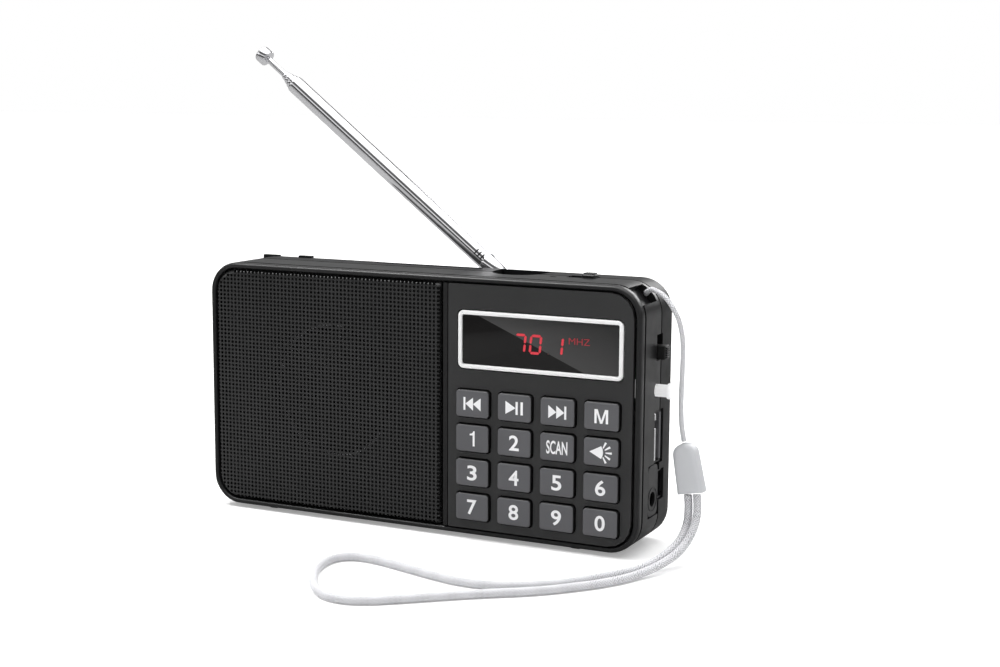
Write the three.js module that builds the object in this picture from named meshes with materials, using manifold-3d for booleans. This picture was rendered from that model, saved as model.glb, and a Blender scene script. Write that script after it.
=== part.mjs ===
// Small upright digital radio: keypad, red LED display, speaker, torch, telescopic antenna
// and wrist strap. Millimetres. +X right along the front, +Y to the back, +Z up.
// Every sub-part is written about the body's centre line, with z = 0 under the feet;
// the finished group is then shifted so that its origin is under the middle of its box.
import * as THREE from 'three';
import { mergeVertices } from 'three/addons/utils/BufferGeometryUtils.js';
import Module from 'manifold-3d';

const wasm = await Module();
wasm.setup();

// ---------- driving dimensions ----------
const GAP = 0.3; // clearance between neighbouring pieces
const THROUGH = 40; // overshoot of a cutting tool

const BODY_WIDTH = 125;
const BODY_HEIGHT = 66.5;
const BODY_DEPTH = 22.8;
const CORNER_RADIUS = 8;
const WALL = 1.8;
const BACK_WALL = 2;
const FRONT_WALL = 1.3;
const FOOT_HEIGHT = 1;
const EDGE_ROUNDING = 1.9;
const REAR_ROUNDING = 1.1;
const GROOVE = 0.6; // the dark lines before and behind the front shell

const RIGHT = BODY_WIDTH / 2;
const LEFT = -RIGHT;
const REAR = BODY_DEPTH / 2;
const FRONT = -REAR;
const BOTTOM = FOOT_HEIGHT;
const TOP = BOTTOM + BODY_HEIGHT;
const MID_Z = (BOTTOM + TOP) / 2;

const BEAD_WIDTH = 1.5; // front frame seen from the front
const BEAD_DEPTH = 3; // and from the side
const SHELL_FRONT = FRONT + BEAD_DEPTH + GROOVE;
const PARTING = 2.6; // rear rim of the front shell
const REAR_SHELL_FRONT = PARTING + GROOVE;
const INNER_REAR = REAR - BACK_WALL;
const INNER_FRONT = SHELL_FRONT + FRONT_WALL;

const GRILLE_RIGHT = 8;
const DIVIDER_LEFT = 9;
const DIVIDER_RIGHT = 10.2;
const PANEL_LEFT = 10.5;
const PANEL_THICKNESS = 1.4;

const KEY_COLUMNS = 4;
const KEY_ROWS = 4;
const KEY_PITCH_X = 11.72;
const KEY_PITCH_Z = 8.91;
const KEY_FIRST_X = 17.83;
const KEY_FIRST_Z = 35.43;
const KEY_WIDTH = 9.3;
const KEY_HEIGHT = 7;
const KEY_RADIUS = 0.9;
const KEY_PROUD = 1;
const KEY_FLANGE_FRONT = FRONT + PANEL_THICKNESS + GAP;
const KEY_FLANGE_REAR = KEY_FLANGE_FRONT + 0.5;

const DISPLAY_X = 35.7;
const DISPLAY_Z = 51.7;
const DISPLAY_WIDTH = 44.7;
const DISPLAY_HEIGHT = 14.75;
const DISPLAY_BAND = 1.05;
const DISPLAY_RADIUS = 1.3;

const SPEAKER_X = -26.5;
const SPEAKER_RADIUS = 19.5;
const SPEAKER_HOLE = 18;

const BOARD_FRONT = -6.2;
const BOARD_THICKNESS = 1.2;
const SOCKET_BOARD_FRONT = 6.4;

const PIVOT = { x: 16.15, y: 14.4, z: 62.7 }; // where the antenna tilts, behind the rear face
const ANTENNA_ELEVATION = 38; // degrees above the horizontal, tip to the left
const TUBE_DIAMETERS = [4.85, 4, 3.2, 2.45];
const TUBE_BORES = [4.25, 3.4, 2.65, 1.9];
const TUBE_STARTS = [3.1, 9.5, 10.5, 11.5];
const TUBE_ENDS = [85.6, 86.8, 88.1, 89.4];
const FERRULE_LENGTH = 6.9;
const ROD_DIAMETER = 1.7;
const CAP_RADIUS = 2.3;
const CAP_EDGE = 0.4;
const TIP_END = 99.5;
const MOUNT_TOP = PIVOT.z - 4.8;
const MOUNT_HEIGHT = 9;
const MOUNT_REAR = PIVOT.y + 2.6;
const SWIVEL_SHAFT = 1.4;

const RECESS_X = 22.5;
const RECESS_Y = 5.6;
const RECESS_RADIUS = 7.2;
const RECESS_FLOOR = 58.6;
const RECESS_REAR = REAR - 1.2;

const JACK_Y = -1.1;
const JACK_Z = 13.4;
const LED_Y = 0.5;
const LED_Z = 40.7;
const LED_STANDOFF = 4.9;

const TORCH_SLOT = { x0: 37.6, x1: 45.4, y0: 0.6, y1: 4.6 };
const POWER_SLOT = { y0: -0.1, y1: 3.9, z0: 48.1, z1: 54.6 };
const USB_SLOT = { y0: -0.7, y1: 5.3, z0: 21.9, z1: 35.5 };
const MICRO_SLOT = { y0: 3, y1: 6.4, z0: 12.3, z1: 20.1 };
const SOCKET_PANEL = { y: -0.9, z: 15.6, width: 6.4, height: 12.8, radius: 1.5 };

const BATTERY = { x0: -8, x1: 45, z0: 8, z1: 42, y0: 3.3, y1: 8.9 };
const DOOR = { x0: -9, x1: 46, z0: 7, z1: 45 };

const SCREW_PLACES = [
  { x: -56.5, z: 5.2 },
  { x: 56.5, z: 5.2 },
  { x: -58.2, z: 50 },
  { x: 51.5, z: 63.1 },
];
const BOSS_RADIUS = 2.8;
const SCREW_BORE = 1.3;

const CORNER_X = RIGHT - CORNER_RADIUS;
const CORNER_Z = TOP - CORNER_RADIUS;
const NOTCH = { inner: 5.9, halfLength: 2.8, y1: 1.2 };
const CORD_HOLE = { x: 58.85, z: 64.5, radius: 0.95 };

const CORD_SIDES = 8;
const STRAP_CORD_DIAMETER = 1.3;
const STRAP_LOOP_DIAMETER = 2.1;
const CLASP = { x: 72.3, y: -3, z: 22.8, width: 6.6, depth: 4.4, height: 12.4, tilt: 10.6 };

// ---------- materials ----------
function surface(color, roughness, metalness) {
  return new THREE.MeshStandardMaterial({ color, roughness, metalness });
}
const casePlastic = () => surface(0x2c2c2e, 0.42, 0);
const panelPlastic = () => surface(0x333334, 0.5, 0);
const keyPlastic = () => surface(0x5e5e62, 0.55, 0);
const whitePlastic = () => surface(0xeeeeee, 0.4, 0);
const clearWindow = () => surface(0x241a1c, 0.08, 0);
const blackPlastic = () => surface(0x101010, 0.5, 0);
const grilleMetal = () => surface(0x3a3a3c, 0.4, 0.8);
const chrome = () => surface(0xe6e6ea, 0.08, 1);
const steel = () => surface(0xb4b6ba, 0.3, 1);
const boardGreen = () => surface(0x1f5a35, 0.6, 0);
const silicone = () => surface(0x8c8c90, 0.8, 0);
const paperCone = () => surface(0x1a1a1a, 0.9, 0);
const batteryLabel = () => surface(0xd9dde2, 0.5, 0);
const strapBraid = () => surface(0xd8d8dc, 0.85, 0);
const claspPlastic = () => surface(0xb9bbc0, 0.4, 0);
const lampWhite = () => surface(0xf6f6f8, 0.2, 0);

// ---------- geometry helpers ----------
function solidOf(geometry) {
  const bare = geometry.clone();
  bare.deleteAttribute('normal');
  bare.deleteAttribute('uv');
  const welded = mergeVertices(bare, 1e-4);
  const source = welded.index.array;
  const triangles = [];
  for (let i = 0; i < source.length; i += 3) {
    const [a, b, c] = [source[i], source[i + 1], source[i + 2]];
    if (a !== b && b !== c && c !== a) triangles.push(a, b, c);
  }
  const mesh = new wasm.Mesh({
    numProp: 3,
    vertProperties: new Float32Array(welded.attributes.position.array),
    triVerts: new Uint32Array(triangles),
  });
  return new wasm.Manifold(mesh);
}

function geometryOf(solid) {
  const mesh = solid.getMesh();
  const geometry = new THREE.BufferGeometry();
  geometry.setAttribute('position', new THREE.BufferAttribute(mesh.vertProperties, 3));
  geometry.setIndex(new THREE.BufferAttribute(mesh.triVerts, 1));
  geometry.computeVertexNormals();
  return geometry;
}

function cutAll(base, tools) {
  return tools.reduce((solid, tool) => solid.subtract(tool), base);
}

function joinAll(solids) {
  return solids.reduce((whole, solid) => whole.add(solid));
}

function box(x0, x1, y0, y1, z0, z1) {
  const geometry = new THREE.BoxGeometry(x1 - x0, y1 - y0, z1 - z0);
  return solidOf(geometry.translate((x0 + x1) / 2, (y0 + y1) / 2, (z0 + z1) / 2));
}

function cylinderX(radius, x0, x1, y, z, sides = 20) {
  const geometry = new THREE.CylinderGeometry(radius, radius, x1 - x0, sides);
  return solidOf(geometry.rotateZ(Math.PI / 2).translate((x0 + x1) / 2, y, z));
}

function cylinderY(radius, y0, y1, x, z, sides = 20) {
  const geometry = new THREE.CylinderGeometry(radius, radius, y1 - y0, sides);
  return solidOf(geometry.translate(x, (y0 + y1) / 2, z));
}

function cylinderZ(radius, z0, z1, x, y, sides = 24) {
  const geometry = new THREE.CylinderGeometry(radius, radius, z1 - z0, sides);
  return solidOf(geometry.rotateX(Math.PI / 2).translate(x, y, (z0 + z1) / 2));
}

// A rectangle in x and z whose corners are round: leftRadius on the left, radius on the right.
function roundedOutline(x0, x1, z0, z1, radius, leftRadius = radius, Kind = THREE.Shape) {
  const outline = new Kind();
  const quarter = Math.PI / 2;
  outline.moveTo(x0 + leftRadius, z0);
  outline.lineTo(x1 - radius, z0);
  outline.absarc(x1 - radius, z0 + radius, radius, -quarter, 0, false);
  outline.lineTo(x1, z1 - radius);
  outline.absarc(x1 - radius, z1 - radius, radius, 0, quarter, false);
  outline.lineTo(x0 + leftRadius, z1);
  outline.absarc(x0 + leftRadius, z1 - leftRadius, leftRadius, quarter, 2 * quarter, false);
  outline.lineTo(x0, z0 + leftRadius);
  outline.absarc(x0 + leftRadius, z0 + leftRadius, leftRadius, 2 * quarter, 3 * quarter, false);
  return outline;
}

function centredOutline(x, z, width, height, radius, Kind = THREE.Shape) {
  const [w, h] = [width / 2, height / 2];
  return roundedOutline(x - w, x + w, z - h, z + h, radius, radius, Kind);
}

// Extrudes an outline drawn in x and z from frontY to rearY, with both edges rounded by bevel.
function plateGeometry(outline, frontY, rearY, curveSegments = 2, bevel = 0) {
  const geometry = new THREE.ExtrudeGeometry(outline, {
    depth: rearY - frontY - 2 * bevel,
    curveSegments,
    bevelEnabled: bevel > 0,
    bevelThickness: bevel,
    bevelSize: bevel,
    bevelOffset: -bevel,
    bevelSegments: 2,
  });
  return geometry.rotateX(Math.PI / 2).translate(0, rearY - bevel, 0);
}

function plate(outline, frontY, rearY, curveSegments, bevel) {
  return solidOf(plateGeometry(outline, frontY, rearY, curveSegments, bevel));
}

// Turns a profile of [radius, height] pairs about the z axis.
function turned(profile, sides = 16) {
  const points = profile.map(([radius, height]) => new THREE.Vector2(radius, height));
  return solidOf(new THREE.LatheGeometry(points, sides).rotateX(Math.PI / 2));
}

// The same about the line along +Y through x and z.
function turnedAlongY(profile, x, z, sides = 24) {
  const points = profile.map(([radius, height]) => new THREE.Vector2(radius, height));
  return solidOf(new THREE.LatheGeometry(points, sides).translate(x, 0, z));
}

function bodyForm(rounding = EDGE_ROUNDING) {
  const outline = centredOutline(0, MID_Z, BODY_WIDTH, BODY_HEIGHT, CORNER_RADIUS);
  return plate(outline, FRONT, REAR, 5, rounding);
}

function cavity(frontY, rearY) {
  const [width, height] = [BODY_WIDTH - 2 * WALL, BODY_HEIGHT - 2 * WALL];
  return plate(centredOutline(0, MID_Z, width, height, CORNER_RADIUS - WALL), frontY, rearY, 5);
}

function slice(solid, frontY, rearY) {
  return solid.intersect(box(LEFT - 1, RIGHT + 1, frontY, rearY, 0, TOP + 1));
}

// ---------- the assembly ----------
// The antenna's tip is the leftmost point, the torch lamp the rightmost.
function boxShift() {
  const lean = THREE.MathUtils.degToRad(ANTENNA_ELEVATION);
  const reach = TIP_END * Math.cos(lean) + (CAP_RADIUS - CAP_EDGE) * Math.sin(lean);
  const middleX = (PIVOT.x - reach + RIGHT + LED_STANDOFF) / 2;
  const middleY = (FRONT - KEY_PROUD + MOUNT_REAR) / 2;
  return [-middleX, -middleY];
}

const radio = new THREE.Group();
radio.position.set(...boxShift(), 0);

function place(name, solid, material, parent = radio) {
  const mesh = new THREE.Mesh(geometryOf(solid), material);
  mesh.name = name;
  parent.add(mesh);
}

// ---------- casing ----------
function frontBezel() {
  const [width, height] = [BODY_WIDTH - 2 * BEAD_WIDTH, BODY_HEIGHT - 2 * BEAD_WIDTH];
  const opening = centredOutline(0, MID_Z, width, height, CORNER_RADIUS - BEAD_WIDTH);
  const ring = slice(bodyForm(), FRONT - 1, FRONT + BEAD_DEPTH);
  return ring.subtract(plate(opening, FRONT - 1, FRONT + BEAD_DEPTH + 1, 5));
}

function footPad(x, y) {
  const outline = new THREE.Shape();
  outline.moveTo(x - 1.6, BOTTOM + 0.5);
  outline.lineTo(x - 1.6, BOTTOM);
  outline.lineTo(x - 1.1, 0);
  outline.lineTo(x + 1.1, 0);
  outline.lineTo(x + 1.6, BOTTOM);
  outline.lineTo(x + 1.6, BOTTOM + 0.5);
  return plate(outline, y - 1.5, y + 1.5);
}

const FOOT_X = [-45.5, 44.5];
const FRONT_FOOT_Y = -5.9;
const REAR_FOOT_Y = 6.3;

// A box laid along the top right corner, from inner to outer along its diagonal.
function cornerBlock(inner, outer, halfLength, y0, y1) {
  const geometry = new THREE.BoxGeometry(outer - inner, y1 - y0, 2 * halfLength);
  geometry.translate((inner + outer) / 2, (y0 + y1) / 2, 0);
  return solidOf(geometry.rotateY(-Math.PI / 4).translate(CORNER_X, 0, CORNER_Z));
}

// An open flat across the corner, behind the bead, with a hole in its rear wall for the cord.
function strapNotchTools() {
  const { inner, halfLength, y1 } = NOTCH;
  const lining = cornerBlock(inner - 1.6, inner + 1, halfLength + 1.4, SHELL_FRONT, y1 + 1);
  const pocket = cornerBlock(inner, inner + 6, halfLength, SHELL_FRONT - 1, y1);
  const cordHole = cylinderY(CORD_HOLE.radius, y1 - 0.5, PARTING + 1, CORD_HOLE.x, CORD_HOLE.z, 12);
  return { lining, pocket, cordHole };
}

function sideOpenings() {
  const [x0, x1] = [RIGHT - WALL - 3, RIGHT + 3];
  return [
    box(x0, x1, POWER_SLOT.y0, POWER_SLOT.y1, POWER_SLOT.z0, POWER_SLOT.z1),
    box(x0, x1, USB_SLOT.y0, USB_SLOT.y1, USB_SLOT.z0, USB_SLOT.z1),
    box(x0, x1, MICRO_SLOT.y0, MICRO_SLOT.y1, MICRO_SLOT.z0, MICRO_SLOT.z1),
    cylinderX(1.6 + GAP, x0, x1, LED_Y, LED_Z),
    cylinderX(2.9, x0, x1, JACK_Y, JACK_Z),
  ];
}

// The hollow in the top beside the antenna's root, round in front and straight at the rear.
function recessHollow() {
  const [x0, x1] = [RECESS_X - RECESS_RADIUS, RECESS_X + RECESS_RADIUS];
  const behind = box(x0, x1, RECESS_REAR, REAR + 3, RECESS_FLOOR - 1, TOP + 3);
  return [
    cylinderZ(RECESS_RADIUS, RECESS_FLOOR, TOP + 2, RECESS_X, RECESS_Y, 28).subtract(behind),
    box(x0, x1, RECESS_Y, RECESS_REAR, RECESS_FLOOR, TOP + 2),
  ];
}

function topOpenings() {
  const { x0, x1, y0, y1 } = TORCH_SLOT;
  const slit = box(33.5, 35.3, -0.8, 0.2, TOP - 0.7, TOP + 1);
  return [box(x0, x1, y0, y1, TOP - WALL - 1, TOP + 1), slit, ...recessHollow()];
}

function socketPanelPocket() {
  const { y, z, width, height } = SOCKET_PANEL;
  const [w, h] = [width / 2 + GAP, height / 2 + GAP];
  return box(RIGHT - 1.2, RIGHT + 1, y - w, y + w, z - h, z + h);
}

function frontShell() {
  const strap = strapNotchTools();
  const form = bodyForm();
  let shell = slice(form, SHELL_FRONT, PARTING);
  shell = shell.subtract(cavity(INNER_FRONT, PARTING + 1));
  const bosses = SCREW_PLACES.map(({ x, z }) => cylinderY(BOSS_RADIUS, SHELL_FRONT, 2.3, x, z));
  const lining = strap.lining.intersect(slice(form, SHELL_FRONT, PARTING));
  const feet = FOOT_X.map((x) => footPad(x, FRONT_FOOT_Y));
  shell = joinAll([shell, ...bosses, lining, ...feet]);
  const bores = SCREW_PLACES.map(({ x, z }) => cylinderY(SCREW_BORE, -4, 3, x, z, 12));
  const keypadOpening = roundedOutline(PANEL_LEFT + 0.4, 60.2, 3.4, 65.2, 6, 0.3);
  const bossKeep = SCREW_PLACES.map(({ x, z }) => cylinderY(BOSS_RADIUS, -9, -6, x, z));
  const opening = cutAll(plate(keypadOpening, SHELL_FRONT - 1, INNER_FRONT + 1), bossKeep);
  return cutAll(shell, [
    opening,
    cylinderY(SPEAKER_HOLE, SHELL_FRONT - 1, INNER_FRONT + 1, SPEAKER_X, MID_Z, 36),
    ...bores,
    ...sideOpenings(),
    ...topOpenings(),
    socketPanelPocket(),
    strap.pocket,
    strap.cordHole,
  ]);
}

// Two low raised places on the top's rear edge, towards its left end.
function rearNubs() {
  const [y0, y1] = [REAR - 1.8, REAR - 0.4];
  return [
    box(-59.1, -54.2, y0, y1, TOP - 1, TOP + 0.3),
    box(-47.5, -43.4, y0, y1, TOP - 1, TOP + 0.5),
  ];
}

// The block on the rear face that the antenna's hinge turns in.
function antennaMount() {
  const { x, y } = PIVOT;
  const outline = centredOutline(x, MOUNT_TOP - MOUNT_HEIGHT / 2, 9, MOUNT_HEIGHT, 1.5);
  const block = plate(outline, REAR - 1, MOUNT_REAR, 3, 0.6);
  const bore = cylinderZ(SWIVEL_SHAFT + GAP, MOUNT_TOP - 2 - GAP, MOUNT_TOP + 1, x, y, 14);
  return block.subtract(bore);
}

function rearShell() {
  let shell = slice(bodyForm(REAR_ROUNDING), REAR_SHELL_FRONT, REAR + 1);
  shell = shell.subtract(cavity(REAR_SHELL_FRONT - 1, INNER_REAR));
  const bosses = SCREW_PLACES.map(({ x, z }) =>
    cylinderY(BOSS_RADIUS, REAR_SHELL_FRONT, INNER_REAR + 0.5, x, z));
  const feet = FOOT_X.map((x) => footPad(x, REAR_FOOT_Y));
  shell = joinAll([shell, antennaMount(), ...rearNubs(), ...bosses, ...feet]);
  const bores = SCREW_PLACES.flatMap(({ x, z }) => [
    cylinderY(SCREW_BORE, 2, REAR + 1, x, z, 12),
    cylinderY(2.4, REAR - 1.4, REAR + 1, x, z, 16),
  ]);
  return cutAll(shell, [
    box(-22, 10, 7.6, REAR - 0.9, TOP - 0.8, TOP + 1),
    box(DOOR.x0, DOOR.x1, INNER_REAR - 1, REAR + 1, DOOR.z0, DOOR.z1),
    ...bores,
    ...sideOpenings(),
    ...topOpenings(),
  ]);
}

function batteryDoor() {
  const { x0, x1, z0, z1 } = DOOR;
  const outline = roundedOutline(x0 + GAP, x1 - GAP, z0 + GAP, z1 - GAP, 0.8);
  return plate(outline, INNER_REAR + 0.2, REAR);
}

function caseScrew({ x, z }) {
  const shank = cylinderY(1, -3, REAR - 1, x, z, 10);
  const head = cylinderY(2, REAR - 1.1, REAR - 0.2, x, z, 14);
  const slot = box(x - 1.3, x + 1.3, REAR - 0.6, REAR, z - 0.25, z + 0.25);
  return shank.add(head).subtract(slot);
}

// ---------- front: grille, panel, display, keys ----------
function speakerGrille() {
  const [x0, z0] = [LEFT + BEAD_WIDTH + GAP, BOTTOM + BEAD_WIDTH + GAP];
  const z1 = TOP - BEAD_WIDTH - GAP;
  const corner = CORNER_RADIUS - BEAD_WIDTH - GAP;
  const sheet = roundedOutline(x0, GRILLE_RIGHT, z0, z1, 0.8, corner);
  const inside = roundedOutline(x0 + 1, GRILLE_RIGHT - 1, z0 + 1, z1 - 1, 0.5, corner - 1);
  const blank = plate(sheet, FRONT + 0.2, SHELL_FRONT - GAP, 5);
  return blank.subtract(plate(inside, FRONT + 0.9, SHELL_FRONT + 1, 5));
}

function dividerStrip() {
  const [z0, z1] = [BOTTOM + BEAD_WIDTH + GAP, TOP - BEAD_WIDTH - GAP];
  return box(DIVIDER_LEFT, DIVIDER_RIGHT, FRONT + 0.1, SHELL_FRONT - GAP, z0, z1);
}

function keyPlaces() {
  const places = [];
  for (let row = 0; row < KEY_ROWS; row += 1) {
    for (let column = 0; column < KEY_COLUMNS; column += 1) {
      const x = KEY_FIRST_X + column * KEY_PITCH_X;
      places.push({ x, z: KEY_FIRST_Z - row * KEY_PITCH_Z, row, column });
    }
  }
  return places;
}

function controlPanel() {
  const right = RIGHT - BEAD_WIDTH - GAP;
  const [z0, z1] = [BOTTOM + BEAD_WIDTH + GAP, TOP - BEAD_WIDTH - GAP];
  const corner = CORNER_RADIUS - BEAD_WIDTH - GAP;
  const outline = roundedOutline(PANEL_LEFT, right, z0, z1, corner, 0.3);
  for (const { x, z } of keyPlaces()) {
    const [width, height] = [KEY_WIDTH + 2 * GAP, KEY_HEIGHT + 2 * GAP];
    outline.holes.push(centredOutline(x, z, width, height, KEY_RADIUS + GAP, THREE.Path));
  }
  const [width, height] = [DISPLAY_WIDTH + 2 * GAP, DISPLAY_HEIGHT + 2 * GAP];
  const radius = DISPLAY_RADIUS + GAP;
  outline.holes.push(centredOutline(DISPLAY_X, DISPLAY_Z, width, height, radius, THREE.Path));
  return plate(outline, FRONT, FRONT + PANEL_THICKNESS);
}

function keyCap({ x, z }) {
  const outline = centredOutline(x, z, KEY_WIDTH, KEY_HEIGHT, KEY_RADIUS);
  const cap = plate(outline, FRONT - KEY_PROUD, KEY_FLANGE_REAR);
  const [w, h] = [KEY_WIDTH / 2 + 0.6, KEY_HEIGHT / 2 + 0.6];
  return cap.add(box(x - w, x + w, KEY_FLANGE_FRONT, KEY_FLANGE_REAR, z - h, z + h));
}

function displayFrame() {
  const outline = centredOutline(DISPLAY_X, DISPLAY_Z, DISPLAY_WIDTH, DISPLAY_HEIGHT, DISPLAY_RADIUS);
  const [width, height] = [DISPLAY_WIDTH - 2 * DISPLAY_BAND, DISPLAY_HEIGHT - 2 * DISPLAY_BAND];
  outline.holes.push(centredOutline(DISPLAY_X, DISPLAY_Z, width, height, 0.5, THREE.Path));
  return plate(outline, FRONT - 0.25, FRONT + 1.2, 3);
}

function displayWindow() {
  const inset = 2 * (DISPLAY_BAND + GAP);
  const [width, height] = [DISPLAY_WIDTH - inset, DISPLAY_HEIGHT - inset];
  return plate(centredOutline(DISPLAY_X, DISPLAY_Z, width, height, 0.4), FRONT + 0.1, FRONT + 1);
}

function displayModule() {
  const [w, h] = [DISPLAY_WIDTH / 2 - 1.2, DISPLAY_HEIGHT / 2 - 1.2];
  const [x, z] = [DISPLAY_X, DISPLAY_Z];
  return box(x - w, x + w, FRONT + 1.7, BOARD_FRONT - GAP, z - h, z + h);
}

function keypadMembrane() {
  const outline = roundedOutline(PANEL_LEFT + 0.8, 59.8, 4, 40.4, 6, 1);
  return plate(outline, KEY_FLANGE_REAR + 0.9, BOARD_FRONT - GAP)
    .subtract(cylinderY(BOSS_RADIUS + GAP, FRONT, 0, SCREW_PLACES[1].x, SCREW_PLACES[1].z));
}

// ---------- boards and sockets ----------
function mainBoard() {
  const outline = roundedOutline(9.5, 58.4, 3.5, 64.4, 6, 1);
  const notches = SCREW_PLACES.map(({ x, z }) => cylinderY(BOSS_RADIUS + GAP, -8, -3, x, z));
  return cutAll(plate(outline, BOARD_FRONT, BOARD_FRONT + BOARD_THICKNESS), notches);
}

function socketBoard() {
  return box(48.3, 60, SOCKET_BOARD_FRONT, SOCKET_BOARD_FRONT + 1, 11, 57);
}

function usbSocket() {
  const { y0, y1, z0, z1 } = USB_SLOT;
  const skin = box(48.7, RIGHT - 0.4, y0 + GAP, y1 - GAP, z0 + GAP, z1 - GAP);
  const hollow = box(49.3, RIGHT + 1, y0 + 0.65, y1 - 0.65, z0 + 0.65, z1 - 0.65);
  const tongue = box(49, RIGHT - 1.6, y1 - 2.4, y1 - 1.1, z0 + 1.2, z1 - 1.2);
  return skin.subtract(hollow).add(tongue);
}

function microUsbSocket() {
  const { y0, y1, z0, z1 } = MICRO_SLOT;
  const skin = box(56.6, RIGHT - 0.5, y0 + GAP, y1 - GAP, z0 + GAP, z1 - GAP);
  const hollow = box(57.2, RIGHT + 1, y0 + 0.6, y1 - 0.6, z0 + 0.6, z1 - 0.6);
  const tongue = box(57, RIGHT - 1.2, y1 - 1.5, y1 - 0.9, z0 + 1.5, z1 - 1.5);
  return skin.subtract(hollow).add(tongue);
}

function earphoneJack() {
  const housing = box(49.5, 60.4, JACK_Y - 3, JACK_Y + 3, JACK_Z - 3.1, JACK_Z + 3.1);
  const nose = cylinderX(2.4, 60.2, RIGHT - 1.4, JACK_Y, JACK_Z);
  return housing.add(nose).subtract(cylinderX(1.8, 50.5, RIGHT, JACK_Y, JACK_Z));
}

function socketPanel() {
  const { y, z, width, height, radius } = SOCKET_PANEL;
  const outline = centredOutline(y, z, width, height, radius);
  const geometry = plateGeometry(outline, 0, 0.8).rotateZ(-Math.PI / 2);
  // The outline was drawn in x and z; the quarter turn lays it in y and z, seen from the side.
  geometry.translate(RIGHT - 0.9, 2 * y, 0);
  const panel = solidOf(geometry);
  return panel.subtract(cylinderX(1.9, RIGHT - 3, RIGHT + 1, JACK_Y, JACK_Z));
}

function torchLamp() {
  const tip = RIGHT + LED_STANDOFF;
  const profile = [
    [0, 57], [2.5, 57], [2.5, 58], [1.6, 58], [1.6, RIGHT + 3], [1.85, RIGHT + 3.1],
    [2, RIGHT + 3.3], [2, tip - 0.9], [1.7, tip - 0.3], [1.1, tip], [0, tip],
  ];
  const points = profile.map(([radius, x]) => new THREE.Vector2(radius, x));
  const geometry = new THREE.LatheGeometry(points, 16).rotateZ(-Math.PI / 2);
  return solidOf(geometry.translate(0, LED_Y, LED_Z));
}

// ---------- switches ----------
function powerSwitchBody() {
  return box(54.6, 59.8, POWER_SLOT.y0, SOCKET_BOARD_FRONT - GAP, 46.5, 56);
}

function powerSwitchKnob() {
  const { y0, z0 } = POWER_SLOT;
  const [z, height] = [z0 + GAP, 3.5];
  return box(60.1, RIGHT + 2.4, y0 + 0.4, y0 + 3.6, z, z + height);
}

function torchSwitchBody() {
  return box(36.6, 46.4, -0.4, 5.6, 58.6, 64.4);
}

function torchSwitchKnob() {
  const { x1, y0, y1 } = TORCH_SLOT;
  return box(x1 - 3.8, x1 - GAP, y0 + 0.4, y1 - 0.4, 64.7, TOP + 1.2);
}

// ---------- top recess ----------
function recessLiner() {
  const [w, front] = [RECESS_RADIUS + 0.9, RECESS_Y - RECESS_RADIUS - 1];
  const [x0, x1] = [RECESS_X - w, RECESS_X + w];
  const block = box(x0, x1, front, INNER_REAR - GAP, RECESS_FLOOR - 1.4, TOP - WALL - GAP);
  return cutAll(block, recessHollow());
}

// ---------- speaker and battery ----------
function speakerBasket() {
  const rim = BOARD_FRONT;
  return turnedAlongY([
    [17.5, rim], [SPEAKER_RADIUS, rim], [SPEAKER_RADIUS, rim + 1.2], [17.6, rim + 1.2],
    [12, 2.2], [4, 2.2], [4, 1.4], [11.4, 1.4], [16.9, rim + 0.6], [17.5, rim],
  ], SPEAKER_X, MID_Z);
}

function speakerCone() {
  return turnedAlongY([
    [0, -3.6], [3, -3.2], [4.6, -2.4], [16.3, -6.1], [16.3, -5.7], [4.6, -1.8], [0, -1.8],
  ], SPEAKER_X, MID_Z);
}

function speakerMagnet() {
  return cylinderY(11, 2.5, 7.4, SPEAKER_X, MID_Z, 28);
}

function batteryCell() {
  const { x0, x1, y0, y1, z0, z1 } = BATTERY;
  return plate(roundedOutline(x0, x1, z0, z1, 1.5), y0, y1);
}

function batteryTray() {
  const { x0, x1, y0, z0, z1 } = BATTERY;
  const outer = box(x0 - 1.6, x1 + 1.6, y0 - 1.5, INNER_REAR - GAP, z0 - 1.6, z1 + 3.6);
  return outer.subtract(box(x0 - 0.4, x1 + 0.4, y0 - 0.3, THROUGH, z0 - 0.4, z1 + 2.4));
}

function batteryContact() {
  const { y0, z1 } = BATTERY;
  return box(-4, 10, y0 + 0.6, y0 + 4.6, z1 + 0.3, z1 + 2.1);
}

// ---------- antenna ----------
function antennaSwivel() {
  const { x, y, z } = PIVOT;
  const shaft = cylinderZ(SWIVEL_SHAFT, MOUNT_TOP - 2, MOUNT_TOP + 1, x, y, 14);
  const turret = cylinderZ(2.5, MOUNT_TOP + GAP, z - 2.3, x, y, 20);
  const cheeks = [-1.9, 1.9].map((offset) => {
    const rounded = cylinderY(2.4, y + offset - 0.6, y + offset + 0.6, x, z, 20);
    return rounded.add(box(x - 2.2, x + 2.2, y + offset - 0.6, y + offset + 0.6, z - 3, z));
  });
  const pinHole = cylinderY(0.95, y - 4, y + 4, x, z, 12);
  // the corners are rounded off so that the whole turns clear of the rear face
  const clear = cylinderZ(y - REAR - GAP, MOUNT_TOP - 3, z + 3, x, y, 28);
  return joinAll([shaft, turret, ...cheeks]).intersect(clear).subtract(pinHole);
}

function antennaPin() {
  return cylinderY(0.7, PIVOT.y - 2.4, PIVOT.y + 2.4, PIVOT.x, PIVOT.z, 12);
}

// The antenna's own pieces stand along z from the pivot, before the whole is tilted.
function antennaKnuckle() {
  const eye = cylinderY(1.9, -1, 1, 0, 0, 18);
  const blade = box(-1.6, 1.6, -1, 1, 0, 4.7);
  const stem = cylinderZ(1.75, 4.4, 7.6, 0, 0, 16);
  return joinAll([eye, blade, stem]).subtract(cylinderY(0.95, -2, 2, 0, 0, 12));
}

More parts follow.
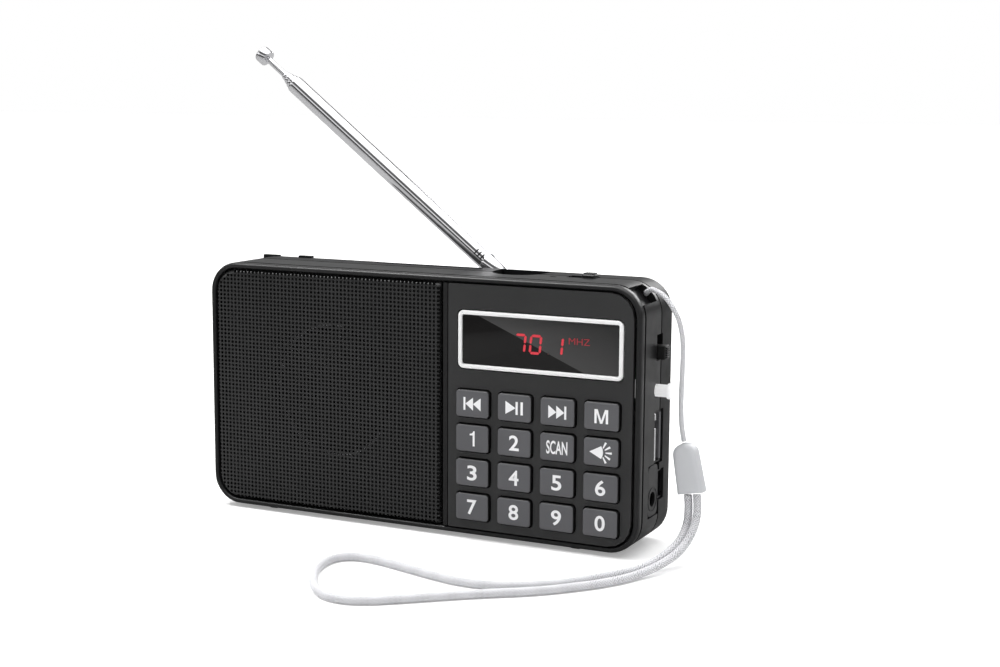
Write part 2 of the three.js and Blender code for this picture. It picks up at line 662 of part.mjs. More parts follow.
function antennaTube(index) {
  const [outer, bore] = [TUBE_DIAMETERS[index] / 2, TUBE_BORES[index] / 2];
  const [start, end] = [TUBE_STARTS[index], TUBE_ENDS[index]];
  const collar = start + FERRULE_LENGTH;
  const ferrule = [[outer + 0.15, start], [outer + 0.15, collar], [outer, collar]];
  const foot = index === 0 ? ferrule : [[outer, start]];
  return turned([
    [bore, start], ...foot,
    [outer, end - 0.4], [outer - 0.15, end], [bore, end], [bore, start],
  ]);
}

function antennaTip() {
  const rod = ROD_DIAMETER / 2;
  const cap = CAP_RADIUS;
  return turned([
    [0, 12.5], [rod, 12.5], [rod, TIP_END - 3.1], [cap - 0.2, TIP_END - 3.1], [cap, TIP_END - 2.9],
    [cap, TIP_END - CAP_EDGE], [cap - CAP_EDGE, TIP_END], [0, TIP_END],
  ]);
}

// ---------- wrist strap ----------
const STRAP_CORD_ROUTE = [
  [58.85, 2.2, 64.5], [58.85, 1.2, 64.5], [59.5, 0.4, 65.1], [60.9, -0.2, 65.75],
  [62.5, -0.9, 65.4], [64.2, -1.6, 64.8], [65.6, -2.3, 63.9], [66.75, -2.7, 62.8],
  [67.6, -3, 61.7], [69.0, -3, 59.1], [70.0, -3, 55.2], [70.3, -3, 51.0], [70.2, -3, 46.0],
  [70.1, -3, 41.0], [70.1, -3, 37.0], [70.4, -3, 33.0], [71.05, -3, 29.3],
];
const STRAP_LOOP_ROUTE = [
  [72.4, -3.0, 16.1], [72.7, -3.3, 12.4], [72.8, -4.8, 8.9], [72.4, -8.2, 6.0], [71.2, -12.2, 4.0],
  [69.2, -16.6, 2.4], [67.0, -20.6, 1.4], [64.2, -25.0, 1.05], [60.8, -30.4, 1.05],
  [57.6, -35.4, 1.05], [54.2, -39.6, 1.05], [50.4, -42.8, 1.05], [46.4, -45.4, 1.05],
  [42.2, -47.4, 1.05], [37.6, -48.4, 1.05], [32.6, -48.5, 1.05], [26.8, -47.4, 1.05],
  [20.6, -45.7, 1.05], [14.2, -43.8, 1.05], [8.0, -42.1, 1.05], [3.2, -41.5, 1.05],
  [-0.6, -42.4, 1.05], [-2.8, -45.2, 1.05], [-3.2, -49.6, 1.05], [-1.8, -55.4, 1.05],
  [1.2, -61.4, 1.05], [5.0, -66.8, 1.05], [9.4, -70.8, 1.05], [13.8, -72.4, 1.05],
  [18.0, -72.0, 1.05], [22.2, -70.0, 1.05], [27.2, -66.3, 1.05], [32.4, -62.0, 1.05],
  [37.8, -57.6, 1.05], [43.4, -53.4, 1.05], [48.8, -49.6, 1.05], [53.8, -45.4, 1.05],
  [58.4, -40.6, 1.05], [62.8, -35.2, 1.05], [66.4, -29.2, 1.1], [69.2, -23.0, 1.5],
  [71.6, -17.6, 2.5], [73.4, -12.6, 4.0], [74.6, -8.6, 6.4], [75.2, -5.4, 9.6],
  [75.1, -3.6, 13.0], [74.65, -3.0, 16.5],
];

function cordAlong(route, diameter, steps) {
  const path = new THREE.CatmullRomCurve3(route.map((point) => new THREE.Vector3(...point)));
  const corners = [];
  for (let side = 0; side < CORD_SIDES; side += 1) {
    const angle = (2 * Math.PI * side) / CORD_SIDES;
    corners.push(new THREE.Vector2(Math.cos(angle), Math.sin(angle)).multiplyScalar(diameter / 2));
  }
  const options = { extrudePath: path, steps, bevelEnabled: false };
  return solidOf(new THREE.ExtrudeGeometry(new THREE.Shape(corners), options));
}

function strapClasp() {
  const { x, y, z, width, depth, height, tilt } = CLASP;
  const outline = centredOutline(0, 0, width, height, 1.6);
  const geometry = plateGeometry(outline, -depth / 2, depth / 2, 2, 0.7);
  geometry.rotateY(THREE.MathUtils.degToRad(-tilt));
  return solidOf(geometry.translate(x, y, z));
}

// ---------- building it ----------
place('front_bezel', frontBezel(), casePlastic());
place('front_shell', frontShell(), casePlastic());
place('rear_shell', rearShell(), casePlastic());
place('battery_door', batteryDoor(), casePlastic());
SCREW_PLACES.forEach((spot, i) => place(`case_screw_${i + 1}`, caseScrew(spot), steel()));

place('speaker_grille', speakerGrille(), grilleMetal());
place('divider_strip', dividerStrip(), blackPlastic());
place('control_panel', controlPanel(), panelPlastic());
place('display_frame', displayFrame(), whitePlastic());
place('display_window', displayWindow(), clearWindow());
place('display_module', displayModule(), blackPlastic());
for (const spot of keyPlaces()) {
  place(`key_r${spot.row + 1}_c${spot.column + 1}`, keyCap(spot), keyPlastic());
}
place('keypad_membrane', keypadMembrane(), silicone());

place('main_board', mainBoard(), boardGreen());
place('socket_board', socketBoard(), boardGreen());
place('usb_socket', usbSocket(), steel());
place('micro_usb_socket', microUsbSocket(), steel());
place('earphone_jack', earphoneJack(), blackPlastic());
place('socket_panel', socketPanel(), casePlastic());
place('torch_lamp', torchLamp(), lampWhite());

place('power_switch_body', powerSwitchBody(), blackPlastic());
place('power_switch_knob', powerSwitchKnob(), blackPlastic());
place('torch_switch_body', torchSwitchBody(), blackPlastic());
place('torch_switch_knob', torchSwitchKnob(), blackPlastic());

place('speaker_basket', speakerBasket(), steel());
place('speaker_cone', speakerCone(), paperCone());
place('speaker_magnet', speakerMagnet(), steel());
place('battery_cell', batteryCell(), batteryLabel());
place('battery_tray', batteryTray(), blackPlastic());
place('battery_contacts', batteryContact(), steel());

place('recess_liner', recessLiner(), blackPlastic());
place('antenna_swivel', antennaSwivel(), steel());
place('antenna_pin', antennaPin(), steel());
const antenna = new THREE.Group();
antenna.position.set(PIVOT.x, PIVOT.y, PIVOT.z);
antenna.rotation.y = THREE.MathUtils.degToRad(ANTENNA_ELEVATION - 90);
radio.add(antenna);
place('antenna_knuckle', antennaKnuckle(), steel(), antenna);
TUBE_DIAMETERS.forEach((diameter, i) => {
  place(`antenna_tube_${i + 1}`, antennaTube(i), chrome(), antenna);
});
place('antenna_tip', antennaTip(), chrome(), antenna);

place('strap_cord', cordAlong(STRAP_CORD_ROUTE, STRAP_CORD_DIAMETER, 36), strapBraid());
place('strap_clasp', strapClasp(), claspPlastic());
place('strap_loop', cordAlong(STRAP_LOOP_ROUTE, STRAP_LOOP_DIAMETER, 50), strapBraid());

export default radio;
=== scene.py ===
"""Looks of the portable radio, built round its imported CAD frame. Metres, in the CAD frame."""

import math

import bmesh
import bpy
import numpy as np
from mathutils import Matrix, Vector


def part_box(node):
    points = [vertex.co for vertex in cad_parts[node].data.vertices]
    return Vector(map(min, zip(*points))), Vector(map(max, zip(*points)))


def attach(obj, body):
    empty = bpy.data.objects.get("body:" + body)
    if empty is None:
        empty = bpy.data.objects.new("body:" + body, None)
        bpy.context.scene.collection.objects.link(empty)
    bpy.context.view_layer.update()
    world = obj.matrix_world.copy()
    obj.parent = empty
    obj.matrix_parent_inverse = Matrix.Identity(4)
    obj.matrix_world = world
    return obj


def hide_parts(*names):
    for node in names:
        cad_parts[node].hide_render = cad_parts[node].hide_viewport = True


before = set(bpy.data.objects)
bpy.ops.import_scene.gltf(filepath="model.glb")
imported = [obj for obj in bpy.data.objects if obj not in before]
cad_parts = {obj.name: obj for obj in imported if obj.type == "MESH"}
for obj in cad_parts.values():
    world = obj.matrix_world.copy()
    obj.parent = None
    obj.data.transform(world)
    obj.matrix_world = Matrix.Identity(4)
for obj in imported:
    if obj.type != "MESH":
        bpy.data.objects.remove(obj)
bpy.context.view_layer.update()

MM = 0.001
RADIO = "radio_body"


# ---------- places, all from the frame ----------
def middle_of(node):
    low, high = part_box(node)
    return (low + high) / 2


SHELL_LOW, SHELL_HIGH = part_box("front_shell")
PANEL_LOW, PANEL_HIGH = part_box("control_panel")
BEZEL_LOW, BEZEL_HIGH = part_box("front_bezel")
PIVOT = middle_of("antenna_pin")
BODY_X = (SHELL_LOW.x + SHELL_HIGH.x) / 2
FRONT = PANEL_LOW.y
BODY_DEPTH = 22.8 * MM
BODY_SHIFT = Vector((BODY_X, FRONT + BODY_DEPTH / 2, 0))
CORNER_RADIUS = 8 * MM
CORNER_STEPS = 12


def linked(name, data):
    """A new object in the scene that shows this data."""
    obj = bpy.data.objects.new(name, data)
    bpy.context.scene.collection.objects.link(obj)
    return obj


# ---------- camera ----------
CAMERA_AZIMUTH = math.radians(25.7)
CAMERA_ELEVATION = math.radians(8.35)
CAMERA_ROLL = math.radians(0.364)
CAMERA_PLACE = BODY_SHIFT + Vector((0.2008, -0.3766, 0.1133))
CAMERA_LENS = 59.12
SENSOR_WIDTH = 36.0


def make_camera():
    data = bpy.data.cameras.new("camera")
    data.sensor_width = SENSOR_WIDTH
    data.lens = CAMERA_LENS
    data.clip_start = 0.01
    data.clip_end = 20.0
    camera = linked("camera", data)
    flat = math.cos(CAMERA_ELEVATION)
    back = Vector((
        math.sin(CAMERA_AZIMUTH) * flat,
        -math.cos(CAMERA_AZIMUTH) * flat,
        math.sin(CAMERA_ELEVATION),
    ))
    level = Vector((math.cos(CAMERA_AZIMUTH), math.sin(CAMERA_AZIMUTH), 0))
    upright = back.cross(level)
    right = math.cos(CAMERA_ROLL) * level + math.sin(CAMERA_ROLL) * upright
    up = back.cross(right)
    turn = Matrix((right, up, back)).transposed().to_4x4()
    camera.matrix_world = Matrix.Translation(CAMERA_PLACE) @ turn
    bpy.context.scene.camera = camera


# ---------- lights and floor ----------
def aim(obj, place, target):
    obj.location = place
    obj.rotation_mode = "QUATERNION"
    obj.rotation_quaternion = (Vector(target) - Vector(place)).to_track_quat("-Z", "Y")


def soft_box(name, place, target, width, height, power):
    data = bpy.data.lights.new(name, "AREA")
    data.shape = "RECTANGLE"
    data.size = width
    data.size_y = height
    data.energy = power
    light = linked(name, data)
    light.visible_camera = False
    aim(light, place, target)


def soft_sun(strength, spread):
    """Even light from overhead, wide enough to leave only a faint shadow."""
    data = bpy.data.lights.new("overhead", "SUN")
    data.energy = strength
    data.angle = math.radians(spread)
    linked("overhead", data)


# height in the surroundings and brightness there
SKY_STOPS = [(0.20, 0.06), (0.26, 0.95), (0.36, 0.95), (0.42, 0.10), (0.66, 0.10), (0.74, 0.85)]
PAPER_WHITE = 0.86
PAPER_IN_REFLECTIONS = 0.30
PAPER_GLOW = 0.30
FLOOR_REACH = 6.0


def make_world():
    """White to the camera; elsewhere a bright ceiling, a dark band and a light strip below it."""
    world = bpy.data.worlds.new("studio")
    world.use_nodes = True
    tree = world.node_tree
    shader = tree.nodes["Background"]
    shader.inputs["Color"].default_value = (1.0, 1.0, 1.0, 1.0)
    split = tree.nodes.new("ShaderNodeSeparateXYZ")
    tree.links.new(tree.nodes.new("ShaderNodeTexCoord").outputs["Generated"], split.inputs["Vector"])
    bands = tree.nodes.new("ShaderNodeValToRGB")
    tree.links.new(split.outputs["Z"], bands.inputs["Fac"])
    ramp = bands.color_ramp.elements
    while len(ramp) < len(SKY_STOPS):
        ramp.new(0.5)
    for element, (place, level) in zip(ramp, SKY_STOPS):
        element.position = place
        element.color = (level, level, level, 1.0)
    path = tree.nodes.new("ShaderNodeLightPath")
    strength = tree.nodes.new("ShaderNodeMix")
    strength.inputs["B"].default_value = 1.0
    tree.links.new(path.outputs["Is Camera Ray"], strength.inputs["Factor"])
    tree.links.new(bands.outputs["Color"], strength.inputs["A"])
    tree.links.new(strength.outputs["Result"], shader.inputs["Strength"])
    bpy.context.scene.world = world


def make_floor():
    mesh = bpy.data.meshes.new("studio_floor")
    corners = [
        (x * FLOOR_REACH, y * FLOOR_REACH, 0) for x, y in ((-1, -1), (1, -1), (1, 1), (-1, 1))
    ]
    mesh.from_pydata(corners, [], [(0, 1, 2, 3)])
    floor = linked("studio_floor", mesh)
    white = (PAPER_WHITE,) * 3
    material, tree, shader = principled("floor_paper", white, 0.9)
    shader.inputs["Emission Color"].default_value = (1.0, 1.0, 1.0, 1.0)
    path = tree.nodes.new("ShaderNodeLightPath")
    paint(tree, shader, path.outputs["Is Glossy Ray"], white, (PAPER_IN_REFLECTIONS,) * 3)
    glow = ranged(tree, path.outputs["Is Camera Ray"], 0.0, PAPER_GLOW, 0.0, 1.0)
    tree.links.new(glow, shader.inputs["Emission Strength"])
    mesh.materials.append(material)


def make_lights():
    middle = (0, 0, 0.04)
    soft_sun(1.3, 80)
    soft_box("top_light", (-0.1, 0.1, 0.9), middle, 1.0, 0.8, 2.8)
    soft_box("rim_light", (-0.40, -0.12, 0.85), middle, 0.30, 0.30, 4.0)
    soft_box("rear_light", (0.20, 0.85, 0.42), middle, 0.6, 0.3, 3.0)
    soft_box("right_light", (0.75, -0.15, 0.45), middle, 0.5, 0.7, 0.5)
    soft_box("left_light", (-0.7, -0.5, 0.5), middle, 0.4, 0.6, 0.4)


# ---------- materials ----------
def principled(name, color, roughness, metallic=0.0):
    material = bpy.data.materials.new(name)
    material.use_nodes = True
    tree = material.node_tree
    shader = tree.nodes["Principled BSDF"]
    shader.inputs["Base Color"].default_value = (*color, 1.0)
    shader.inputs["Roughness"].default_value = roughness
    shader.inputs["Metallic"].default_value = metallic
    return material, tree, shader


def object_points(tree):
    return tree.nodes.new("ShaderNodeTexCoord").outputs["Object"]


def noise(tree, scale, detail=2.0, stretch=None):
    texture = tree.nodes.new("ShaderNodeTexNoise")
    texture.inputs["Scale"].default_value = scale
    texture.inputs["Detail"].default_value = detail
    points = object_points(tree)
    if stretch:
        mapping = tree.nodes.new("ShaderNodeMapping")
        mapping.inputs["Scale"].default_value = stretch
        tree.links.new(points, mapping.inputs["Vector"])
        points = mapping.outputs["Vector"]
    tree.links.new(points, texture.inputs["Vector"])
    return texture.outputs["Fac"]


def ranged(tree, value, low, high, start=0.3, end=0.7):
    node = tree.nodes.new("ShaderNodeMapRange")
    node.inputs["From Min"].default_value = start
    node.inputs["From Max"].default_value = end
    node.inputs["To Min"].default_value = low
    node.inputs["To Max"].default_value = high
    tree.links.new(value, node.inputs["Value"])
    return node.outputs["Result"]


def tinted(tree, factor, first, second):
    """Blends from a colour to a second one, which may be another node's output."""
    node = tree.nodes.new("ShaderNodeMix")
    node.data_type = "RGBA"
    node.inputs["A"].default_value = (*first, 1.0)
    if isinstance(second, bpy.types.NodeSocket):
        tree.links.new(second, node.inputs["B"])
    else:
        node.inputs["B"].default_value = (*second, 1.0)
    tree.links.new(factor, node.inputs["Factor"])
    return node.outputs["Result"]


def paint(tree, shader, factor, first, second):
    tree.links.new(tinted(tree, factor, first, second), shader.inputs["Base Color"])


def polish(tree, shader, factor, low, high):
    tree.links.new(ranged(tree, factor, low, high), shader.inputs["Roughness"])


def add_bump(tree, shader, height, distance):
    node = tree.nodes.new("ShaderNodeBump")
    node.inputs["Distance"].default_value = distance
    tree.links.new(height, node.inputs["Height"])
    tree.links.new(node.outputs["Normal"], shader.inputs["Normal"])


def moulded(name, color, roughness, grain=3500.0, depth=0.004 * MM, variation=0.25, coat=0.0,
            shine=0.5):
    """Moulded plastic: a fine spark-eroded grain, cloudy gloss and slightly uneven colour."""
    material, tree, shader = principled(name, color, roughness)
    cloud = noise(tree, 60.0, 3.0)
    darker = [c * (1 - variation / 2) for c in color]
    lighter = [min(1.0, c * (1 + variation / 2)) for c in color]
    cloudy = ranged(tree, cloud, 0.0, 1.0)
    paint(tree, shader, cloudy, darker, lighter)
    polish(tree, shader, noise(tree, 220.0, 4.0), roughness - 0.04, roughness + 0.05)
    add_bump(tree, shader, noise(tree, grain, 2.0), depth)
    shader.inputs["Specular IOR Level"].default_value = shine
    shader.inputs["Coat Weight"].default_value = coat
    shader.inputs["Coat Roughness"].default_value = 0.15
    return material


def metal(name, color, roughness, stretch, depth=0.001 * MM):
    """Plated metal with faint drawing lines along one axis and cloudy polish."""
    material, tree, shader = principled(name, color, roughness, 1.0)
    lines = noise(tree, 900.0, 3.0, stretch)
    polish(tree, shader, lines, roughness * 0.7, roughness * 1.5)
    cloudy = ranged(tree, noise(tree, 150.0, 3.0), 0.0, 1.0)
    dull = [c * 0.9 for c in color]
    paint(tree, shader, cloudy, dull, color)
    add_bump(tree, shader, lines, depth)
    return material


def polished(name, color, roughness):
    """Bright plating: smooth, with only a cloudy change of polish."""
    material, tree, shader = principled(name, color, roughness, 1.0)
    cloudy = noise(tree, 90.0, 2.0)
    polish(tree, shader, cloudy, roughness * 0.8, roughness * 1.25)
    dull = [c * 0.95 for c in color]
    paint(tree, shader, ranged(tree, cloudy, 0.0, 1.0), dull, color)
    return material


def window_tint_and_painted_reflection():
    """Dark acrylic whose two tones meet on a slanting line: the lighter side is a painted reflection,
    brightest along the line.
    """
    material, tree, shader = principled("window_tint_and_painted_reflection", (0.02, 0.02, 0.02), 0.07)
    split = tree.nodes.new("ShaderNodeSeparateXYZ")
    tree.links.new(object_points(tree), split.inputs["Vector"])
    low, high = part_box("display_window")
    start = low.x + 0.11 * (high.x - low.x)
    end = low.x + 0.78 * (high.x - low.x)
    slope = (high.z - low.z) / (end - start)
    rise = tree.nodes.new("ShaderNodeMath")
    rise.operation = "MULTIPLY_ADD"
    rise.inputs[1].default_value = slope
    rise.inputs[2].default_value = -slope * start - high.z
    tree.links.new(split.outputs["X"], rise.inputs[0])
    above = tree.nodes.new("ShaderNodeMath")
    above.operation = "ADD"
    tree.links.new(rise.outputs[0], above.inputs[0])
    tree.links.new(split.outputs["Z"], above.inputs[1])
    # painted reflection: past the slanting line the window is painted lighter, fading off over 14 mm
    # from the line
    side = ranged(tree, above.outputs[0], 0.0, 1.0, -0.05 * MM, 0.05 * MM)
    painted_reflection_fade = ranged(tree, above.outputs[0], 0.0, 1.0, 0.0, 14 * MM)
    lit = tinted(tree, painted_reflection_fade, (0.060, 0.059, 0.059), (0.026, 0.026, 0.026))
    paint(tree, shader, side, (0.0100, 0.0095, 0.0095), lit)
    polish(tree, shader, noise(tree, 90.0, 3.0), 0.05, 0.09)
    shader.inputs["Specular IOR Level"].default_value = 0.25
    return material


def glowing(name, color, roughness, darker, lighter, glow, strength):
    """A lit red display element, with slightly uneven colour."""
    material, tree, shader = principled(name, color, roughness)
    paint(tree, shader, ranged(tree, noise(tree, 1800.0, 2.0), 0.0, 1.0), darker, lighter)
    shader.inputs["Emission Color"].default_value = (*glow, 1.0)
    shader.inputs["Emission Strength"].default_value = strength
    return material


def led_red():
    return glowing("led_red", (0.6, 0.02, 0.03), 0.4, (0.42, 0.016, 0.026), (0.52, 0.03, 0.045),
                   (0.62, 0.03, 0.05), 0.4)


def led_dim():
    return glowing("led_dim", (0.3, 0.015, 0.02), 0.45, (0.24, 0.012, 0.018), (0.32, 0.02, 0.03),
                   (0.3, 0.015, 0.025), 0.2)


def braid_yarn():
    """Light grey polyester yarn; its strands are geometry, and this adds the fine fibres and a painted
    shade in the gaps between strands.
    """
    material, tree, shader = principled("braid_yarn", (0.62, 0.62, 0.65), 0.75)
    fibres = noise(tree, 5200.0, 3.0)
    shade = ranged(tree, fibres, 0.0, 1.0)
    yarn = tinted(tree, shade, (0.66, 0.66, 0.69), (0.90, 0.90, 0.92))
    crest = tree.nodes.new("ShaderNodeAttribute")
    crest.attribute_name = "crest"
    raised = ranged(tree, crest.outputs["Fac"], 0.0, 1.0, 0.2, 0.85)
    # painted shade: away from the crests, in the gaps between strands, the yarn is painted dark grey
    paint(tree, shader, raised, (0.16, 0.16, 0.175), yarn)
    add_bump(tree, shader, fibres, 0.02 * MM)
    shader.inputs["Sheen Weight"].default_value = 0.25
    shader.inputs["Sheen Roughness"].default_value = 0.4
    return material


def milky_lens_with_painted_glow():
    material, tree, shader = principled("milky_lens_with_painted_glow", (0.9, 0.9, 0.92), 0.2)
    cloudy = ranged(tree, noise(tree, 400.0, 3.0), 0.0, 1.0)
    paint(tree, shader, cloudy, (0.92, 0.92, 0.94), (0.98, 0.98, 0.98))
    polish(tree, shader, noise(tree, 900.0, 2.0), 0.14, 0.24)
    shader.inputs["Subsurface Weight"].default_value = 0.1
    shader.inputs["Subsurface Radius"].default_value = (1 * MM, 1 * MM, 1 * MM)
    shader.inputs["Coat Weight"].default_value = 0.4
    # painted glow: a weak white emission that brightens the lens
    shader.inputs["Emission Color"].default_value = (1.0, 1.0, 1.0, 1.0)
    shader.inputs["Emission Strength"].default_value = 0.3
    return material


def circuit_board():
    """Green solder mask with copper tracks showing through as paler stripes."""
    material, tree, shader = principled("circuit_board", (0.014, 0.1, 0.035), 0.35)
    tracks = tree.nodes.new("ShaderNodeTexBrick")
    tracks.inputs["Scale"].default_value = 260.0
    tracks.inputs["Color1"].default_value = (0.012, 0.085, 0.03, 1.0)
    tracks.inputs["Color2"].default_value = (0.016, 0.115, 0.04, 1.0)
    tracks.inputs["Mortar"].default_value = (0.03, 0.17, 0.06, 1.0)
    tree.links.new(object_points(tree), tracks.inputs["Vector"])
    tree.links.new(tracks.outputs["Color"], shader.inputs["Base Color"])
    add_bump(tree, shader, tracks.outputs["Fac"], 0.03 * MM)
    return material


def cone_paper():
    material, tree, shader = principled("cone_paper", (0.02, 0.02, 0.02), 0.85)
    fibres = noise(tree, 1500.0, 5.0)
    shade = ranged(tree, fibres, 0.0, 1.0)
    paint(tree, shader, shade, (0.012, 0.012, 0.012), (0.035, 0.034, 0.032))
    add_bump(tree, shader, fibres, 0.05 * MM)
    return material


def make_materials():
    return {
        "case": moulded("case_plastic", (0.0095, 0.0095, 0.0100), 0.36, shine=0.4),
        "rear_case": moulded("rear_case_plastic", (0.0080, 0.0080, 0.0085), 0.42, shine=0.2),
        "panel": moulded("panel_plastic", (0.0235, 0.0235, 0.0240), 0.42, 4200.0),
        "black": moulded("black_plastic", (0.0040, 0.0040, 0.0042), 0.45),
        "grille": moulded("grille_paint", (0.0125, 0.0125, 0.0130), 0.28, 2600.0, 0.003 * MM, 0.3, 0.3),
        "white": moulded("white_plastic", (0.86, 0.86, 0.86), 0.35, 3000.0, 0.002 * MM, 0.04),
        "legend": moulded("legend_paint", (0.88, 0.88, 0.89), 0.5, 5000.0, 0.004 * MM, 0.05),
        "key": moulded("key_plastic", (0.100, 0.100, 0.107), 0.48, 3800.0, 0.005 * MM, 0.10),
        "silicone": moulded("silicone", (0.26, 0.26, 0.28), 0.7),
        "clasp": moulded("clasp_plastic", (0.56, 0.57, 0.59), 0.42, 3000.0, 0.003 * MM, 0.06),
        "sleeve": moulded("cell_sleeve", (0.55, 0.57, 0.62), 0.4, 800.0, 0.01 * MM, 0.1),
        "magnet": moulded("ferrite", (0.05, 0.05, 0.052), 0.6, 1200.0, 0.02 * MM),
        "window": window_tint_and_painted_reflection(),
        "led": led_red(),
        "led_dim": led_dim(),
        "led_off": moulded("led_off", (0.05, 0.006, 0.008), 0.4),
        "chrome": polished("antenna_chrome", (0.86, 0.86, 0.88), 0.11),
        "steel": metal("plated_steel", (0.62, 0.62, 0.64), 0.25, (0.05, 1.0, 1.0)),
        "dark_steel_and_slot_shade": metal("dark_steel_and_slot_shade", (0.08, 0.08, 0.085), 0.35, (1.0, 0.05, 1.0)),
        "brass": metal("gold_contact", (0.85, 0.62, 0.28), 0.2, (0.05, 1.0, 1.0)),
        "yarn": braid_yarn(),
        "lamp": milky_lens_with_painted_glow(),
        "board": circuit_board(),
        "cone": cone_paper(),
    }


# ---------- mesh helpers ----------
def make_piece(name, vertices, faces, material, body, sharp=35.0):
    """A smooth-shaded mesh in the row frame that rides on a body; edges past sharp stay crisp."""
    mesh = bpy.data.meshes.new(name)
    mesh.from_pydata([tuple(v) for v in vertices], [], faces)
    shell = bmesh.new()
    shell.from_mesh(mesh)
    bmesh.ops.recalc_face_normals(shell, faces=shell.faces)
    shell.to_mesh(mesh)
    shell.free()
    mesh.polygons.foreach_set("use_smooth", [True] * len(mesh.polygons))
    mesh.set_sharp_from_angle(angle=math.radians(sharp))
    mesh.materials.append(material)
    obj = linked(name, mesh)
    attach(obj, body)
    return obj


def stand_in(node):
    """The piece is drawn in place of a CAD node, which is hidden."""
    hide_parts(node)


class Build:
    """Vertices and faces of one piece, collected from several simple forms."""

    def __init__(self):
        self.vertices = []
        self.faces = []

    def add(self, vertices, faces):
        first = len(self.vertices)
        self.vertices.extend(vertices)
        self.faces.extend(tuple(first + i for i in face) for face in faces)
        return self

    def piece(self, name, material, body, sharp=35.0):
        return make_piece(name, self.vertices, self.faces, material, body, sharp)


def skin(loops, closed=False):
    """Faces between neighbouring loops of points; the ends are capped unless it closes on itself."""
    count = len(loops[0])
    vertices = [point for loop in loops for point in loop]
    faces = []
    for i in range(len(loops) if closed else len(loops) - 1):
        a, b = i * count, ((i + 1) % len(loops)) * count
        for k in range(count):
            n = (k + 1) % count
            faces.append((a + k, a + n, b + n, b + k))
    if not closed:
        faces.append(tuple(range(count)))
        faces.append(tuple((len(loops) - 1) * count + k for k in range(count)))
    return vertices, faces


def rounded_outline(x0, x1, z0, z1, radius, left_radius=None, inset=0.0, steps=CORNER_STEPS):
    """Points in x and z round a rectangle whose right and left corners have these radii."""
    left = radius if left_radius is None else left_radius
    x0, x1, z0, z1 = x0 + inset, x1 - inset, z0 + inset, z1 - inset
    right = max(radius - inset, 0.02 * MM)
    left = max(left - inset, 0.02 * MM)
    corners = [
        (x1 - right, z0 + right, right, -90),
        (x1 - right, z1 - right, right, 0),
        (x0 + left, z1 - left, left, 90),
        (x0 + left, z0 + left, left, 180),
    ]
    points = []
    for cx, cz, r, start in corners:
        for i in range(steps + 1):
            angle = math.radians(start + 90 * i / steps)
            points.append((cx + r * math.cos(angle), cz + r * math.sin(angle)))
    return points


def at_depth(outline, y):
    return [(x, y, z) for x, z in outline]


def stacked(low, high, radius, profile, steps=CORNER_STEPS):
    """One loop of a rounded rectangle between two corners for each (inset, y) pair."""
    return [
        at_depth(rounded_outline(low.x, high.x, low.z, high.z, radius, inset=inset, steps=steps), y)
        for inset, y in profile
    ]


def box_form(low, high, bevel=0.0):
    """A box between two corners, its long edges along x cut by a small bevel."""
    (x0, y0, z0), (x1, y1, z1) = low, high
    b = bevel
    section = [
        (y0 + b, z0), (y1 - b, z0), (y1, z0 + b), (y1, z1 - b),
        (y1 - b, z1), (y0 + b, z1), (y0, z1 - b), (y0, z0 + b),
    ]
    middle_y, middle_z = (y0 + y1) / 2, (z0 + z1) / 2

    def ring(x, inset):
        shrink_y = 1 - 2 * inset / (y1 - y0)
        shrink_z = 1 - 2 * inset / (z1 - z0)
        return [
            (x, middle_y + (y - middle_y) * shrink_y, middle_z + (z - middle_z) * shrink_z)
            for y, z in section
        ]

    return skin([ring(x0, b), ring(x0 + b, 0), ring(x1 - b, 0), ring(x1, b)])


def lathe(profile, origin, axis, sides=40):
    """Turns (radius, distance) pairs about a line; radius 0 at an end closes it."""
    axis = Vector(axis).normalized()
    first = axis.orthogonal().normalized()
    second = axis.cross(first)
    loops = []
    for radius, distance in profile:
        centre = Vector(origin) + axis * distance
        radius = max(radius, 0.004 * MM)
        loops.append([
            centre + radius * (math.cos(a) * first + math.sin(a) * second)
            for a in (2 * math.pi * k / sides for k in range(sides))
        ])
    return loops


# ---------- CAD nodes whose shape is kept ----------
def dress(node, material, smooth_angle=33.0):
    """Gives a CAD node its material and smooth shading; its own vertices stay untouched."""
    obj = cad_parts[node]
    obj.data.materials.clear()
    obj.data.materials.append(material)
    obj.data.polygons.foreach_set("use_smooth", [True] * len(obj.data.polygons))
    weld = obj.modifiers.new("weld", "WELD")
    weld.merge_threshold = 0.0005 * MM
    split = obj.modifiers.new("split", "EDGE_SPLIT")
    split.split_angle = math.radians(smooth_angle)
    split.use_edge_sharp = False
    weighted = obj.modifiers.new("weighted", "WEIGHTED_NORMAL")
    weighted.weight = 100
    weighted.keep_sharp = True


def dress_cad_nodes(mat):
    plan = {
        "case": ["front_shell", "socket_panel"],
        "rear_case": ["rear_shell"],
        "panel": ["control_panel"],
        "black": [
            "divider_strip", "earphone_jack", "power_switch_body", "torch_switch_body",
            "battery_tray", "recess_liner", "display_module", "usb_socket",
        ],
        "silicone": ["keypad_membrane"],
        "board": ["main_board", "socket_board"],
        "steel": ["speaker_basket", "antenna_swivel", "antenna_pin"],
        "chrome": ["antenna_knuckle"],
        # dark steel for the case screws; on the micro-USB socket the dark colour is painted shade in
        # its slot
        "dark_steel_and_slot_shade": [
            "case_screw_1", "case_screw_2", "case_screw_3", "case_screw_4", "micro_usb_socket",
        ],
        "cone": ["speaker_cone"],
        "magnet": ["speaker_magnet"],
        "sleeve": ["battery_cell"],
        "brass": ["battery_contacts"],
    }
    for name, nodes in plan.items():
        for node in nodes:
            dress(node, mat[name])


